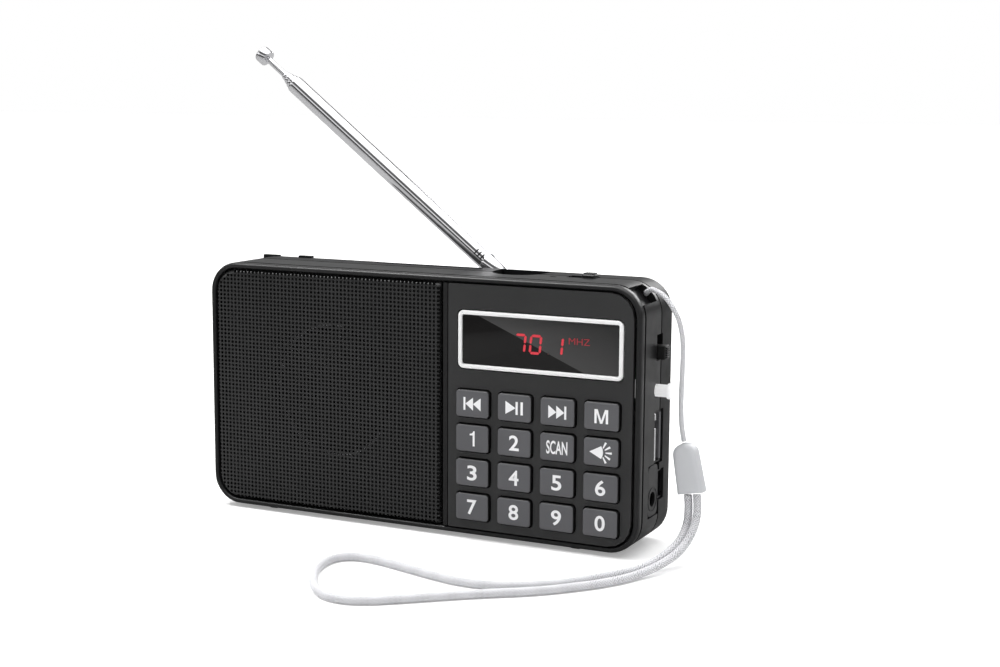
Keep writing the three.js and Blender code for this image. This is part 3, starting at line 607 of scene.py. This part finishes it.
# ---------- wrist strap ----------
STRAP_CORD_DIAMETER = 0.0013
STRAP_LOOP_DIAMETER = 0.0021
STRAP_CORD_ROUTE = [
    (0.05885, 0.0022, 0.0645), (0.05885, 0.0012, 0.0645), (0.0595, 0.0004, 0.0651),
    (0.0609, -0.0002, 0.06575), (0.0625, -0.0009, 0.0654), (0.0642, -0.0016, 0.0648),
    (0.0656, -0.0023, 0.0639), (0.06675, -0.0027, 0.0628), (0.0676, -0.003, 0.0617),
    (0.0690, -0.003, 0.0591), (0.0700, -0.003, 0.0552), (0.0703, -0.003, 0.0510),
    (0.0702, -0.003, 0.0460), (0.0701, -0.003, 0.0410), (0.0701, -0.003, 0.0370),
    (0.0704, -0.003, 0.0330), (0.07105, -0.003, 0.0293),
]
STRAP_LOOP_ROUTE = [
    (0.0724, -0.0030, 0.0161), (0.0727, -0.0033, 0.0124), (0.0728, -0.0048, 0.0089),
    (0.0724, -0.0082, 0.0060), (0.0712, -0.0122, 0.0040), (0.0692, -0.0166, 0.0024),
    (0.0670, -0.0206, 0.0014), (0.0642, -0.0250, 0.00105), (0.0608, -0.0304, 0.00105),
    (0.0576, -0.0354, 0.00105), (0.0542, -0.0396, 0.00105), (0.0504, -0.0428, 0.00105),
    (0.0464, -0.0454, 0.00105), (0.0422, -0.0474, 0.00105), (0.0376, -0.0484, 0.00105),
    (0.0326, -0.0485, 0.00105), (0.0268, -0.0474, 0.00105), (0.0206, -0.0457, 0.00105),
    (0.0142, -0.0438, 0.00105), (0.0080, -0.0421, 0.00105), (0.0032, -0.0415, 0.00105),
    (-0.0006, -0.0424, 0.00105), (-0.0028, -0.0452, 0.00105), (-0.0032, -0.0496, 0.00105),
    (-0.0018, -0.0554, 0.00105), (0.0012, -0.0614, 0.00105), (0.0050, -0.0668, 0.00105),
    (0.0094, -0.0708, 0.00105), (0.0138, -0.0724, 0.00105), (0.0180, -0.0720, 0.00105),
    (0.0222, -0.0700, 0.00105), (0.0272, -0.0663, 0.00105), (0.0324, -0.0620, 0.00105),
    (0.0378, -0.0576, 0.00105), (0.0434, -0.0534, 0.00105), (0.0488, -0.0496, 0.00105),
    (0.0538, -0.0454, 0.00105), (0.0584, -0.0406, 0.00105), (0.0628, -0.0352, 0.00105),
    (0.0664, -0.0292, 0.0011), (0.0692, -0.0230, 0.0015), (0.0716, -0.0176, 0.0025),
    (0.0734, -0.0126, 0.0040), (0.0746, -0.0086, 0.0064), (0.0752, -0.0054, 0.0096),
    (0.0751, -0.0036, 0.0130), (0.07465, -0.0030, 0.0165),
]


def smooth_route(route, steps_between):
    """A Catmull-Rom curve through the route's points, moved into the row frame."""
    points = [Vector(p) + BODY_SHIFT for p in route]
    points = [2 * points[0] - points[1], *points, 2 * points[-1] - points[-2]]
    line = []
    for i in range(1, len(points) - 2):
        before, start, end, after = points[i - 1:i + 3]
        for k in range(steps_between):
            t = k / steps_between
            line.append(0.5 * (
                2 * start + (end - before) * t
                + (2 * before - 5 * start + 4 * end - after) * t ** 2
                + (3 * start - before - 3 * end + after) * t ** 3
            ))
    return [*line, points[-2]]


def spaced(line, step):
    """The same line with points a fixed step apart, and its length."""
    array = np.array([tuple(p) for p in line])
    runs = np.linalg.norm(np.diff(array, axis=0), axis=1)
    travelled = np.concatenate([[0], np.cumsum(runs)])
    count = max(2, int(round(travelled[-1] / step)))
    marks = np.linspace(0, travelled[-1], count + 1)
    even = np.stack([np.interp(marks, travelled, array[:, k]) for k in range(3)], axis=1)
    return even, float(travelled[-1])


def transported_frames(points):
    """A tangent, side and up vector at each point, carried along without twisting."""
    tangents = np.gradient(points, axis=0)
    tangents /= np.linalg.norm(tangents, axis=1)[:, None]
    side = np.cross(tangents[0], (0.0, 0.0, 1.0))
    if np.linalg.norm(side) < 0.1:
        side = np.cross(tangents[0], (0.0, 1.0, 0.0))
    sides = []
    for tangent in tangents:
        side = side - tangent * np.dot(side, tangent)
        side /= np.linalg.norm(side)
        sides.append(side)
    sides = np.array(sides)
    return tangents, sides, np.cross(tangents, sides)


def braided_radius(angle, distance, diameter, strands, relief):
    """The radius of a tubular braid: two sets of yarns that wind opposite ways and cross over."""
    lay = 2.6 * diameter
    right = strands * (angle / (2 * math.pi) + distance / lay)
    left = strands * (angle / (2 * math.pi) - distance / lay)
    over = np.cos(math.pi * (np.floor(right) + np.floor(left)))
    across_right = np.abs(np.sin(math.pi * right))
    across_left = np.abs(np.sin(math.pi * left))
    height = np.where(over > 0, across_right, across_left)
    crest = height ** 0.7
    return diameter / 2 - relief * (1 - crest), crest


def braided_cord(name, route, diameter, material, strands, sides):
    even, length = spaced(smooth_route(route, 24), diameter / 14)
    tangents, side, up = transported_frames(even)
    angles = np.arange(sides) * 2 * math.pi / sides
    distances = np.linspace(0, length, len(even))
    angle_grid, distance_grid = np.meshgrid(angles, distances)
    radius, crest = braided_radius(angle_grid, distance_grid, diameter, strands, 0.10 * diameter)
    ring = (
        np.cos(angle_grid)[:, :, None] * side[:, None, :]
        + np.sin(angle_grid)[:, :, None] * up[:, None, :]
    )
    vertices = even[:, None, :] + radius[:, :, None] * ring
    loops = [[tuple(v) for v in loop] for loop in vertices]
    cord = Build().add(*skin(loops)).piece(name, material, RADIO, 60.0)
    crests = cord.data.attributes.new("crest", "FLOAT", "POINT")
    crests.data.foreach_set("value", crest.astype(np.float32).ravel())
    return cord, even[::6].tolist(), length


def clasp_outline(inset):
    """The clasp's front view about its own centre: a flat foot and a round head."""
    low, high = -6.2 * MM + inset, 6.2 * MM - inset
    foot, shoulder = 3.3 * MM - inset, 2.95 * MM - inset
    points = [(-foot, low), (foot, low)]
    steps = 16
    centre = high - shoulder * 0.9
    for i in range(steps + 1):
        angle = math.pi * i / steps
        points.append((shoulder * math.cos(angle), centre + 0.9 * shoulder * math.sin(angle)))
    return points


def strap_clasp(mat):
    low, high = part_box("strap_clasp")
    centre = (low + high) / 2
    tilt = math.radians(10.6)
    half = (high.y - low.y) / 2
    layers = [(-1.0, 1.2), (-0.98, 0.75), (-0.86, 0.28), (-0.7, 0.06), (-0.5, 0), (0.5, 0),
              (0.7, 0.06), (0.86, 0.28), (0.98, 0.75), (1.0, 1.2)]
    loops = []
    for depth, inset in layers:
        loop = []
        for x, z in clasp_outline(inset * MM):
            turned_x = x * math.cos(tilt) - z * math.sin(tilt)
            turned_z = x * math.sin(tilt) + z * math.cos(tilt)
            loop.append(centre + Vector((turned_x, depth * half, turned_z)))
        loops.append(loop)
    clasp = Build().add(*skin(loops)).piece("clasp_shell", mat["clasp"], RADIO, 50.0)
    stand_in("strap_clasp")
    return clasp


def make_strap(mat):
    clasp = strap_clasp(mat)
    thin, thin_path, thin_length = braided_cord(
        "strap_thin_cord", STRAP_CORD_ROUTE, STRAP_CORD_DIAMETER, mat["yarn"], 5, 32)
    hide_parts("strap_cord")
    loop, loop_path, loop_length = braided_cord(
        "strap_wrist_loop", STRAP_LOOP_ROUTE, STRAP_LOOP_DIAMETER, mat["yarn"], 8, 32)
    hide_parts("strap_loop")


# ---------- casing ----------
def front_bead(mat):
    """The rounded bead round the front, closed on itself."""
    profile = [
        (0.25, 3.0), (0.08, 2.9), (0, 2.6), (0, 1.45), (0.05, 1.0), (0.18, 0.6), (0.4, 0.32),
        (0.7, 0.2), (1.0, 0.22), (1.28, 0.4), (1.42, 0.7), (1.5, 1.1), (1.5, 3.0),
    ]
    in_metres = [(inset * MM, FRONT + depth * MM) for inset, depth in profile]
    loops = stacked(BEZEL_LOW, BEZEL_HIGH, CORNER_RADIUS, in_metres)
    bead = Build().add(*skin(loops, closed=True)).piece("front_bead", mat["case"], RADIO, 50.0)
    stand_in("front_bezel")


DOOR_RIBS = 6
DOOR_RIB_PITCH = 1.25 * MM
DOOR_RIB_START = 3.2 * MM


def battery_cover(mat):
    """The battery door with its rounded edge and finger ribs."""
    low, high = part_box("battery_door")
    layers = [
        (0, low.y), (0, high.y - 0.25 * MM), (0.08 * MM, high.y - 0.08 * MM), (0.25 * MM, high.y),
    ]
    build = Build().add(*skin(stacked(low, high, 0.9 * MM, layers)))
    centre_x = (low.x + high.x) / 2
    for row in range(DOOR_RIBS):
        z = high.z - DOOR_RIB_START - DOOR_RIB_PITCH * row
        half = (7.5 - 0.35 * row) * MM
        rib = ((centre_x - half, high.y - 0.1 * MM, z - 0.25 * MM),
               (centre_x + half, high.y + 0.28 * MM, z + 0.25 * MM))
        build.add(*box_form(*rib, 0.1 * MM))
    cover = build.piece("battery_cover", mat["case"], "battery_door")
    stand_in("battery_door")


# ---------- speaker grille ----------
HOLE_PITCH_X = 1.145 * MM
HOLE_PITCH_Z = 1.066 * MM
HOLE_RADIUS = 0.40 * MM
SHEET = 0.35 * MM
EDGE_ROLL = 1.0 * MM
GRILLE_CORNER = 6.2 * MM
GRILLE_RIGHT_CORNER = 0.8 * MM


class GrilleSheet:
    """The perforated sheet: a square grid of round holes whose edge rolls back to the shell."""

    def __init__(self):
        low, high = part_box("speaker_grille")
        self.x0, self.x1, self.z0, self.z1 = low.x, high.x, low.z, high.z
        self.front = low.y
        self.back = high.y
        self.columns = int(round((self.x1 - self.x0) / HOLE_PITCH_X))
        self.rows = int(round((self.z1 - self.z0) / HOLE_PITCH_Z))
        self.step_x = (self.x1 - self.x0) / self.columns
        self.step_z = (self.z1 - self.z0) / self.rows
        self.vertices = []
        self.faces = []
        self.shared = {}

    def corner(self, x, z):
        """The centre and radius of the rounded corner that this point is in, or None."""
        for cx, sx, r in ((self.x0, 1, GRILLE_CORNER), (self.x1, -1, GRILLE_RIGHT_CORNER)):
            for cz, sz in ((self.z0, 1), (self.z1, -1)):
                if (x - cx) * sx < r and (z - cz) * sz < r:
                    return cx + sx * r, cz + sz * r, r
        return None

    def inside(self, x, z):
        """How far inside the sheet's outline a point is."""
        found = self.corner(x, z)
        if found:
            cx, cz, r = found
            return r - math.hypot(x - cx, z - cz)
        return min(x - self.x0, self.x1 - x, z - self.z0, self.z1 - z)

    def held(self, x, z):
        """The point itself, or the nearest one on the outline if it lies outside."""
        found = self.corner(x, z)
        if found:
            cx, cz, r = found
            away = math.hypot(x - cx, z - cz)
            if away > r:
                return cx + (x - cx) * r / away, cz + (z - cz) * r / away
        return x, z

    def surface(self, x, z):
        """The sheet's front at this point: flat, then rolled back in a quarter circle."""
        near = min(max(self.inside(x, z), 0.0), EDGE_ROLL) / EDGE_ROLL
        return self.front + EDGE_ROLL * (1 - math.sqrt(max(0.0, 1 - (1 - near) ** 2)))

    def point(self, x, z, back=0.0):
        self.vertices.append((x, self.surface(x, z) + back, z))
        return len(self.vertices) - 1

    def grid_point(self, i, j, back):
        key = (i, j, back)
        if key not in self.shared:
            x, z = self.held(self.x0 + i * self.step_x / 2, self.z0 + j * self.step_z / 2)
            self.shared[key] = self.point(x, z, back)
        return self.shared[key]

    def cell(self, column, row):
        centre_x = self.x0 + (column + 0.5) * self.step_x
        centre_z = self.z0 + (row + 0.5) * self.step_z
        ring = ((0, 0), (1, 0), (2, 0), (2, 1), (2, 2), (1, 2), (0, 2), (0, 1))
        spots = [(2 * column + i, 2 * row + j) for i, j in ring]
        reach = max(
            self.inside(self.x0 + i * self.step_x / 2, self.z0 + j * self.step_z / 2) for i, j in spots
        )
        if reach <= 0:
            return
        front = [self.grid_point(i, j, 0.0) for i, j in spots]
        back = [self.grid_point(i, j, SHEET) for i, j in spots]
        if self.inside(centre_x, centre_z) < HOLE_RADIUS + 0.12 * MM:
            self.faces.append(tuple(front))
            self.faces.append(tuple(reversed(back)))
            return
        hole_front, hole_back = [], []
        for k in range(8):
            angle = math.radians(225 + 45 * k)
            x = centre_x + HOLE_RADIUS * math.cos(angle)
            z = centre_z + HOLE_RADIUS * math.sin(angle)
            hole_front.append(self.point(x, z))
            hole_back.append(self.point(x, z, SHEET))
        for k in range(8):
            n = (k + 1) % 8
            self.faces.append((front[k], front[n], hole_front[n], hole_front[k]))
            self.faces.append((back[n], back[k], hole_back[k], hole_back[n]))
            self.faces.append((hole_front[k], hole_front[n], hole_back[n], hole_back[k]))

    def build(self, material):
        for column in range(self.columns):
            for row in range(self.rows):
                self.cell(column, row)
        build = Build().add(self.vertices, self.faces)
        edge = self.front + EDGE_ROLL
        loops = []
        for inset, y in ((0, edge - 0.02 * MM), (0, self.back), (SHEET, self.back), (SHEET, edge)):
            outline = rounded_outline(
                self.x0, self.x1, self.z0, self.z1, GRILLE_RIGHT_CORNER, GRILLE_CORNER, inset)
            loops.append(at_depth(outline, y))
        build.add(*skin(loops, closed=True))
        return build.piece("perforated_grille", material, RADIO, 50.0)


def speaker_front(mat):
    grille = GrilleSheet().build(mat["grille"])
    stand_in("speaker_grille")


# ---------- display ----------
def display_surround(mat):
    low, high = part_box("display_frame")
    band = 1.05
    profile = [
        (0, 1.4), (0, 0.25), (0.08, 0.08), (0.25, 0), (band - 0.25, 0),
        (band - 0.08, 0.08), (band, 0.25), (band, 1.4),
    ]
    in_metres = [(inset * MM, low.y + depth * MM) for inset, depth in profile]
    build = Build().add(*skin(stacked(low, high, 1.5 * MM, in_metres, 8), closed=True))
    surround = build.piece("display_surround", mat["white"], RADIO, 50.0)
    stand_in("display_frame")


def display_pane(mat):
    low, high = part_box("display_window")
    gap = 0.25 * MM
    layers = [(-gap, high.y), (-gap, low.y + 0.1 * MM), (0, low.y)]
    build = Build().add(*skin(stacked(low, high, 0.5 * MM, layers, 6)))
    pane = build.piece("display_pane", mat["window"], RADIO, 30.0)
    stand_in("display_window")


def flat_form(points, front, thickness):
    """A thin plate whose outline is given in x and z."""
    return skin([at_depth(points, front), at_depth(points, front + thickness)])


SEGMENTS = {"7": "ABC", "0": "ABCDEF", "1": "BC"}
SEGMENT_WIDTH = 0.62 * MM
DIGIT_WIDTH = 3.3 * MM
DIGIT_HEIGHT = 4.95 * MM
DIGIT_SLANT = 0.10
DIGIT_LEVEL = 51.68 * MM
DIGIT_PLACES = (("7", 30.5 * MM), ("0", 34.75 * MM), ("1", 40.6 * MM))
POINT_PLACE = 38.2 * MM
POINT_RADIUS = 0.22 * MM
UNIT_PLACE = (46.5 * MM, 53.2 * MM)
UNIT_SIZE = (5.6 * MM, 1.6 * MM)
LED_THICKNESS = 0.06 * MM


def segment_outline(letter):
    """One LED bar about the digit's centre, with pointed ends."""
    half_w = DIGIT_WIDTH / 2 - SEGMENT_WIDTH / 2
    half_h = DIGIT_HEIGHT / 2 - SEGMENT_WIDTH / 2
    t = SEGMENT_WIDTH / 2
    gap = 0.09 * MM
    level = {"A": half_h, "D": -half_h}
    if letter in level:
        z = level[letter]
        x = half_w - gap
        return [(-x, z), (-x + t, z + t), (x - t, z + t), (x, z), (x - t, z - t), (-x + t, z - t)]
    x = half_w if letter in "BC" else -half_w
    low, high = (gap, half_h - gap) if letter in "BF" else (-half_h + gap, -gap)
    right = [(x, low), (x + t, low + t), (x + t, high - t)]
    left = [(x, high), (x - t, high - t), (x - t, low + t)]
    return right + left


def display_digits(mat):
    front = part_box("display_window")[0].y - 0.04 * MM
    lit = Build()
    for digit, place in DIGIT_PLACES:
        for letter in SEGMENTS[digit]:
            outline = [
                (BODY_X + place + x + DIGIT_SLANT * z, DIGIT_LEVEL + z)
                for x, z in segment_outline(letter)
            ]
            lit.add(*flat_form(outline, front, LED_THICKNESS))
    dot_x = BODY_X + POINT_PLACE
    dot_z = DIGIT_LEVEL - DIGIT_HEIGHT / 2 + 0.4 * MM
    dot = [
        (dot_x + POINT_RADIUS * math.cos(a), dot_z + POINT_RADIUS * math.sin(a))
        for a in (2 * math.pi * k / 16 for k in range(16))
    ]
    point = Build().add(*flat_form(dot, front, LED_THICKNESS))
    point.piece("frequency_point", mat["led_off"], RADIO)
    digits = lit.piece("frequency_digits", mat["led"], RADIO)
    centre = Vector((BODY_X + UNIT_PLACE[0], front, UNIT_PLACE[1]))
    unit = lettering("frequency_unit", "MHZ", *UNIT_SIZE, centre, mat["led_dim"], RADIO)


# ---------- printed characters ----------
def lettering(name, text, width, height, centre, material, body, weight=0.0):
    """Printed characters that fill a width and height about a centre, facing the front."""
    curve = bpy.data.curves.new(name + "_curve", "FONT")
    curve.body = text
    curve.offset = weight
    curve.extrude = 0.01
    curve.resolution_u = 6
    holder = linked(name + "_curve", curve)
    graph = bpy.context.evaluated_depsgraph_get()
    drawn = bpy.data.meshes.new_from_object(holder.evaluated_get(graph))
    points = np.array([v.co for v in drawn.vertices], float)
    faces = [tuple(p.vertices) for p in drawn.polygons]
    low, high = points.min(0), points.max(0)
    scale = np.array((width, height, 0.04 * MM)) / (high - low)
    points = (points - (low + high) / 2) * scale
    placed = [(centre.x + x, centre.y - z, centre.z + y) for x, y, z in points]
    bpy.data.objects.remove(holder)
    bpy.data.meshes.remove(drawn)
    bpy.data.curves.remove(curve)
    return make_piece(name, placed, faces, material, body)


def triangle(x, half, width):
    """A triangle pointing right if width is positive, else left."""
    return [(x, -half), (x + width, 0.0), (x, half)]


def bar(x, half, width):
    return [(x, -half), (x + width, -half), (x + width, half), (x, half)]


def previous_icon():
    return [bar(-2.45, 1.65, 0.55), triangle(0.25, 1.65, -2.15), triangle(2.4, 1.65, -2.15)]


def play_icon():
    return [triangle(-2.4, 1.65, 2.8), bar(0.4, 1.65, 0.6), bar(1.75, 1.65, 0.65)]


def next_icon():
    return [triangle(-2.4, 1.65, 2.15), triangle(-0.25, 1.65, 2.15), bar(1.9, 1.65, 0.55)]


def figure_one():
    return [[
        (0.2, -1.95), (0.75, -1.95), (0.75, 1.95), (0.35, 1.95), (0.2, 1.6), (-0.1, 1.35),
        (-0.65, 1.22), (-0.65, 0.84), (0.2, 0.84),
    ]]


def letter_m():
    return [[
        (-1.8, -1.75), (-1.2, -1.75), (-1.2, 0.9), (-0.3, -1.75), (0.3, -1.75), (1.2, 0.9),
        (1.2, -1.75), (1.8, -1.75), (1.8, 1.75), (0.95, 1.75), (0.0, -1.0), (-0.95, 1.75),
        (-1.8, 1.75),
    ]]


def torch_icon():
    """A cone of light and the rays that leave it."""
    shapes = [[(-3.0, 0.0), (0.1, -1.6), (0.5, -0.8), (0.6, 0.0), (0.5, 0.8), (0.1, 1.6)]]
    for degrees in (-62, -32, 0, 32, 62):
        angle = math.radians(degrees)
        along, side = (math.cos(angle), math.sin(angle)), (-math.sin(angle), math.cos(angle))
        start, end, half = 1.25, 2.9, 0.22
        corners = ((start, -half * 0.6), (end, -half * 1.3), (end, half * 1.3), (start, half * 0.6))
        shapes.append([(along[0] * s + side[0] * w, along[1] * s + side[1] * w) for s, w in corners])
    return shapes


def icon(name, shapes, centre, material, body):
    build = Build()
    for shape in shapes:
        outline = [(centre.x + x * MM, centre.z + z * MM) for x, z in shape]
        build.add(*flat_form(outline, centre.y - 0.02 * MM, 0.04 * MM))
    return build.piece(name, material, body)


# ---------- keys ----------
KEY_LEGENDS = [
    [previous_icon, play_icon, next_icon, letter_m],
    [figure_one, "2", "SCAN", torch_icon],
    ["3", "4", "5", "6"],
    ["7", "8", "9", "0"],
]
LEGEND_SIZES = {"SCAN": (5.7, 3.4)}
USUAL_LEGEND = (2.7, 3.9)
KEY_FLANGE = 0.6 * MM
KEY_CORNER = 0.9 * MM


def key_cap(node, mat):
    low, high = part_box(node)
    flange_front = high.y - 0.5 * MM
    profile = [
        (-KEY_FLANGE, high.y), (-KEY_FLANGE, flange_front), (0, flange_front),
        (0, low.y + 0.45 * MM), (0.04 * MM, low.y + 0.26 * MM), (0.13 * MM, low.y + 0.11 * MM),
        (0.28 * MM, low.y + 0.03 * MM), (0.5 * MM, low.y), (1.6 * MM, low.y + 0.03 * MM),
    ]
    flange = Vector((KEY_FLANGE, 0, KEY_FLANGE))
    loops = stacked(low + flange, high - flange, KEY_CORNER, profile, 6)
    cap = Build().add(*skin(loops)).piece(node + "_cap", mat["key"], node, 40.0)
    cap.data.materials.append(mat["black"])
    for face in cap.data.polygons:
        face.material_index = 1 if face.center.y > low.y + 0.16 * MM else 0
    stand_in(node)


def key_legend(node, legend, mat):
    centre = middle_of(node)
    centre.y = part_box(node)[0].y + 0.01 * MM
    name = node + "_legend"
    if callable(legend):
        mark = icon(name, legend(), centre, mat["legend"], node)
    else:
        width, height = LEGEND_SIZES.get(legend, USUAL_LEGEND)
        mark = lettering(name, legend, width * MM, height * MM, centre, mat["legend"], node, 0.018)


def make_keys(mat):
    for row, legends in enumerate(KEY_LEGENDS, start=1):
        for column, legend in enumerate(legends, start=1):
            node = f"key_r{row}_c{column}"
            key_cap(node, mat)
            key_legend(node, legend, mat)


# ---------- switches, lamp and sockets ----------
KNOB_RIBS = 5
RIB_DEPTH = 0.35 * MM
RIB_MARGIN = 0.3 * MM


def ribbed_knob(name, node, body, mat, slide, face):
    """A slide knob with grip ribs; slide and face index the axis it moves on and the one it faces."""
    low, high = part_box(node)
    base_high = high.copy()
    base_high[face] -= RIB_DEPTH
    build = Build().add(*box_form(low, base_high, 0.25 * MM))
    pitch = (high[slide] - low[slide] - 2 * RIB_MARGIN) / KNOB_RIBS
    for k in range(KNOB_RIBS):
        middle = low[slide] + RIB_MARGIN + (k + 0.5) * pitch
        rib_low, rib_high = low.copy(), high.copy()
        rib_low.y += RIB_MARGIN
        rib_high.y -= RIB_MARGIN
        rib_low[slide] = middle - 0.3 * pitch
        rib_high[slide] = middle + 0.3 * pitch
        rib_low[face] = high[face] - 0.6 * MM
        build.add(*box_form(rib_low, rib_high, 0.08 * MM))
    knob = build.piece(name, mat["black"], body)
    stand_in(node)


def torch(mat):
    low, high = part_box("torch_lamp")
    centre = Vector((0, (low.y + high.y) / 2, (low.z + high.z) / 2))
    tip = high.x
    wall = SHELL_HIGH.x
    profile = [
        (0, low.x), (2.5 * MM, low.x), (2.5 * MM, low.x + 1 * MM), (1.6 * MM, low.x + 1 * MM),
        (1.6 * MM, wall + 2.8 * MM), (1.66 * MM, wall + 2.92 * MM), (1.95 * MM, wall + 3 * MM),
        (2.0 * MM, wall + 3.1 * MM), (2.0 * MM, tip - 1.1 * MM), (1.93 * MM, tip - 0.7 * MM),
        (1.7 * MM, tip - 0.35 * MM), (1.3 * MM, tip - 0.12 * MM), (0.8 * MM, tip - 0.02 * MM), (0, tip),
    ]
    loops = lathe(profile, centre, (1, 0, 0))
    lamp = Build().add(*skin(loops)).piece("torch_lens", mat["lamp"], RADIO, 50.0)
    stand_in("torch_lamp")


def usb_insides(mat):
    """The large socket's bright front lip, the plain tongue at its rear and the gold fingers."""
    low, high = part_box("usb_socket")
    height = high.z - low.z
    lip = Build()
    for start, end in ((0.04, 0.68), (0.83, 0.96)):
        lip_low = (high.x - 5 * MM, low.y + 0.35 * MM, low.z + start * height)
        lip_high = (high.x + 0.05 * MM, low.y + 1.5 * MM, low.z + end * height)
        lip.add(*box_form(lip_low, lip_high, 0.05 * MM))
    lip.piece("usb_lip", mat["chrome"], RADIO)
    tongue = box_form(
        (high.x - 9 * MM, high.y - 1.4 * MM, low.z + 0.04 * height),
        (high.x + 0.05 * MM, high.y - 0.35 * MM, low.z + 0.96 * height), 0.1 * MM)
    Build().add(*tongue).piece("usb_tongue", mat["key"], RADIO)
    fingers = Build()
    for k in range(4):
        z = low.z + (3.0 + 2.33 * k) * MM
        fingers.add(*box_form(
            (high.x - 8 * MM, high.y - 1.5 * MM, z - 0.5 * MM),
            (high.x - 2.6 * MM, high.y - 1.35 * MM, z + 0.5 * MM), 0.05 * MM))
    fingers.piece("usb_contact_fingers", mat["brass"], RADIO)


def socket_surround(mat):
    """The thin ring moulded about the earphone hole."""
    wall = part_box("socket_panel")[1].x
    jack = middle_of("earphone_jack")
    section = [(3.1, 0), (3.1, 0.1), (2.98, 0.16), (2.86, 0.1), (2.86, 0)]
    ring = lathe(
        [(radius * MM, distance * MM) for radius, distance in section],
        Vector((wall - 0.03 * MM, jack.y, jack.z)), (1, 0, 0), 36)
    Build().add(*skin(ring, closed=True)).piece("earphone_ring", mat["case"], RADIO, 50.0)


# ---------- antenna ----------
ANTENNA_ELEVATION = math.radians(38)
ANTENNA_AXIS = Vector((-math.cos(ANTENNA_ELEVATION), 0, math.sin(ANTENNA_ELEVATION)))
TUBES = [
    # outer diameter, bore, start, end, body
    (4.85, 4.25, 3.1, 85.6, "antenna_outer"),
    (4.0, 3.4, 9.5, 86.8, "antenna_section_2"),
    (3.2, 2.65, 10.5, 88.1, "antenna_section_3"),
    (2.45, 1.9, 11.5, 89.4, "antenna_section_4"),
]
FERRULE_END = 10.0
CRIMP_PLACES = (10.8, 11.9, 13.0)
ROD_DIAMETER = 1.7
CAP_RADIUS = 2.3
TIP_END = 99.5


def turned_piece(name, profile, mat, body):
    in_metres = [(radius * MM, distance * MM) for radius, distance in profile]
    loops = lathe(in_metres, PIVOT, ANTENNA_AXIS, 48)
    return Build().add(*skin(loops, closed=True)).piece(name, mat, body, 40.0)


def antenna_tube(index, mat):
    outer, bore, start, end, body = TUBES[index]
    r, inner = outer / 2, bore / 2
    if index == 0:
        foot = [
            (r + 0.05, start), (r + 0.15, start + 0.15), (r + 0.15, FERRULE_END - 0.2),
            (r + 0.05, FERRULE_END), (r, FERRULE_END + 0.05),
        ]
    else:
        foot = [(r - 0.1, start), (r, start + 0.2)]
    rolled = [
        (r, end - 0.75), (r - 0.03, end - 0.4), (r - 0.1, end - 0.15), (r - 0.2, end - 0.03),
        (r - 0.27, end), (inner, end),
    ]
    profile = [(inner, start), *foot, *rolled]
    tube = turned_piece(f"chrome_tube_{index + 1}", profile, mat["chrome"], body)
    stand_in(f"antenna_tube_{index + 1}")


def antenna_rod(mat):
    rod, cap = ROD_DIAMETER / 2, CAP_RADIUS
    profile = [
        (0, 12.5), (rod, 12.6), (rod, TIP_END - 3.15), (cap - 0.35, TIP_END - 3.1),
        (cap - 0.08, TIP_END - 3.0), (cap, TIP_END - 2.8), (cap, TIP_END - 0.6),
        (cap - 0.12, TIP_END - 0.3), (cap - 0.4, TIP_END - 0.08), (cap - 0.75, TIP_END), (0, TIP_END),
    ]
    tip = turned_piece("chrome_tip", profile, mat["chrome"], "antenna_rod")
    stand_in("antenna_tip")


def painted_crimp_shade(mat):
    """Three short black crimp marks round the front of the widest tube, just past its ferrule: painted
    shade in its crimp dents.
    """
    side = Vector((0, -1, 0))
    across = ANTENNA_AXIS.cross(side)
    radius = TUBES[0][0] / 2
    build = Build()
    for place in CRIMP_PLACES:
        loops = []
        for k in range(9):
            angle = math.radians(3 + 5.5 * k)
            outward = math.cos(angle) * side + math.sin(angle) * across
            section = ((-0.2, -0.2), (0.2, -0.2), (0.2, 0.03), (-0.2, 0.03))
            loops.append([
                PIVOT + (ANTENNA_AXIS * (place + a) + outward * (radius + depth)) * MM
                for a, depth in section
            ])
        build.add(*skin(loops))
    build.piece("painted_crimp_shade", mat["black"], "antenna_outer")


def make_antenna(mat):
    for index in range(len(TUBES)):
        antenna_tube(index, mat)
    antenna_rod(mat)
    painted_crimp_shade(mat)


def main():
    bpy.context.scene.view_settings.view_transform = "Standard"
    materials = make_materials()
    make_camera()
    make_strap(materials)
    dress_cad_nodes(materials)
    front_bead(materials)
    battery_cover(materials)
    speaker_front(materials)
    display_surround(materials)
    display_pane(materials)
    display_digits(materials)
    make_keys(materials)
    ribbed_knob("power_knob", "power_switch_knob", "power_switch", materials, 2, 0)
    ribbed_knob("torch_knob", "torch_switch_knob", "torch_switch", materials, 0, 2)
    torch(materials)
    usb_insides(materials)
    socket_surround(materials)
    make_antenna(materials)
    make_world()
    make_floor()
    make_lights()


main()
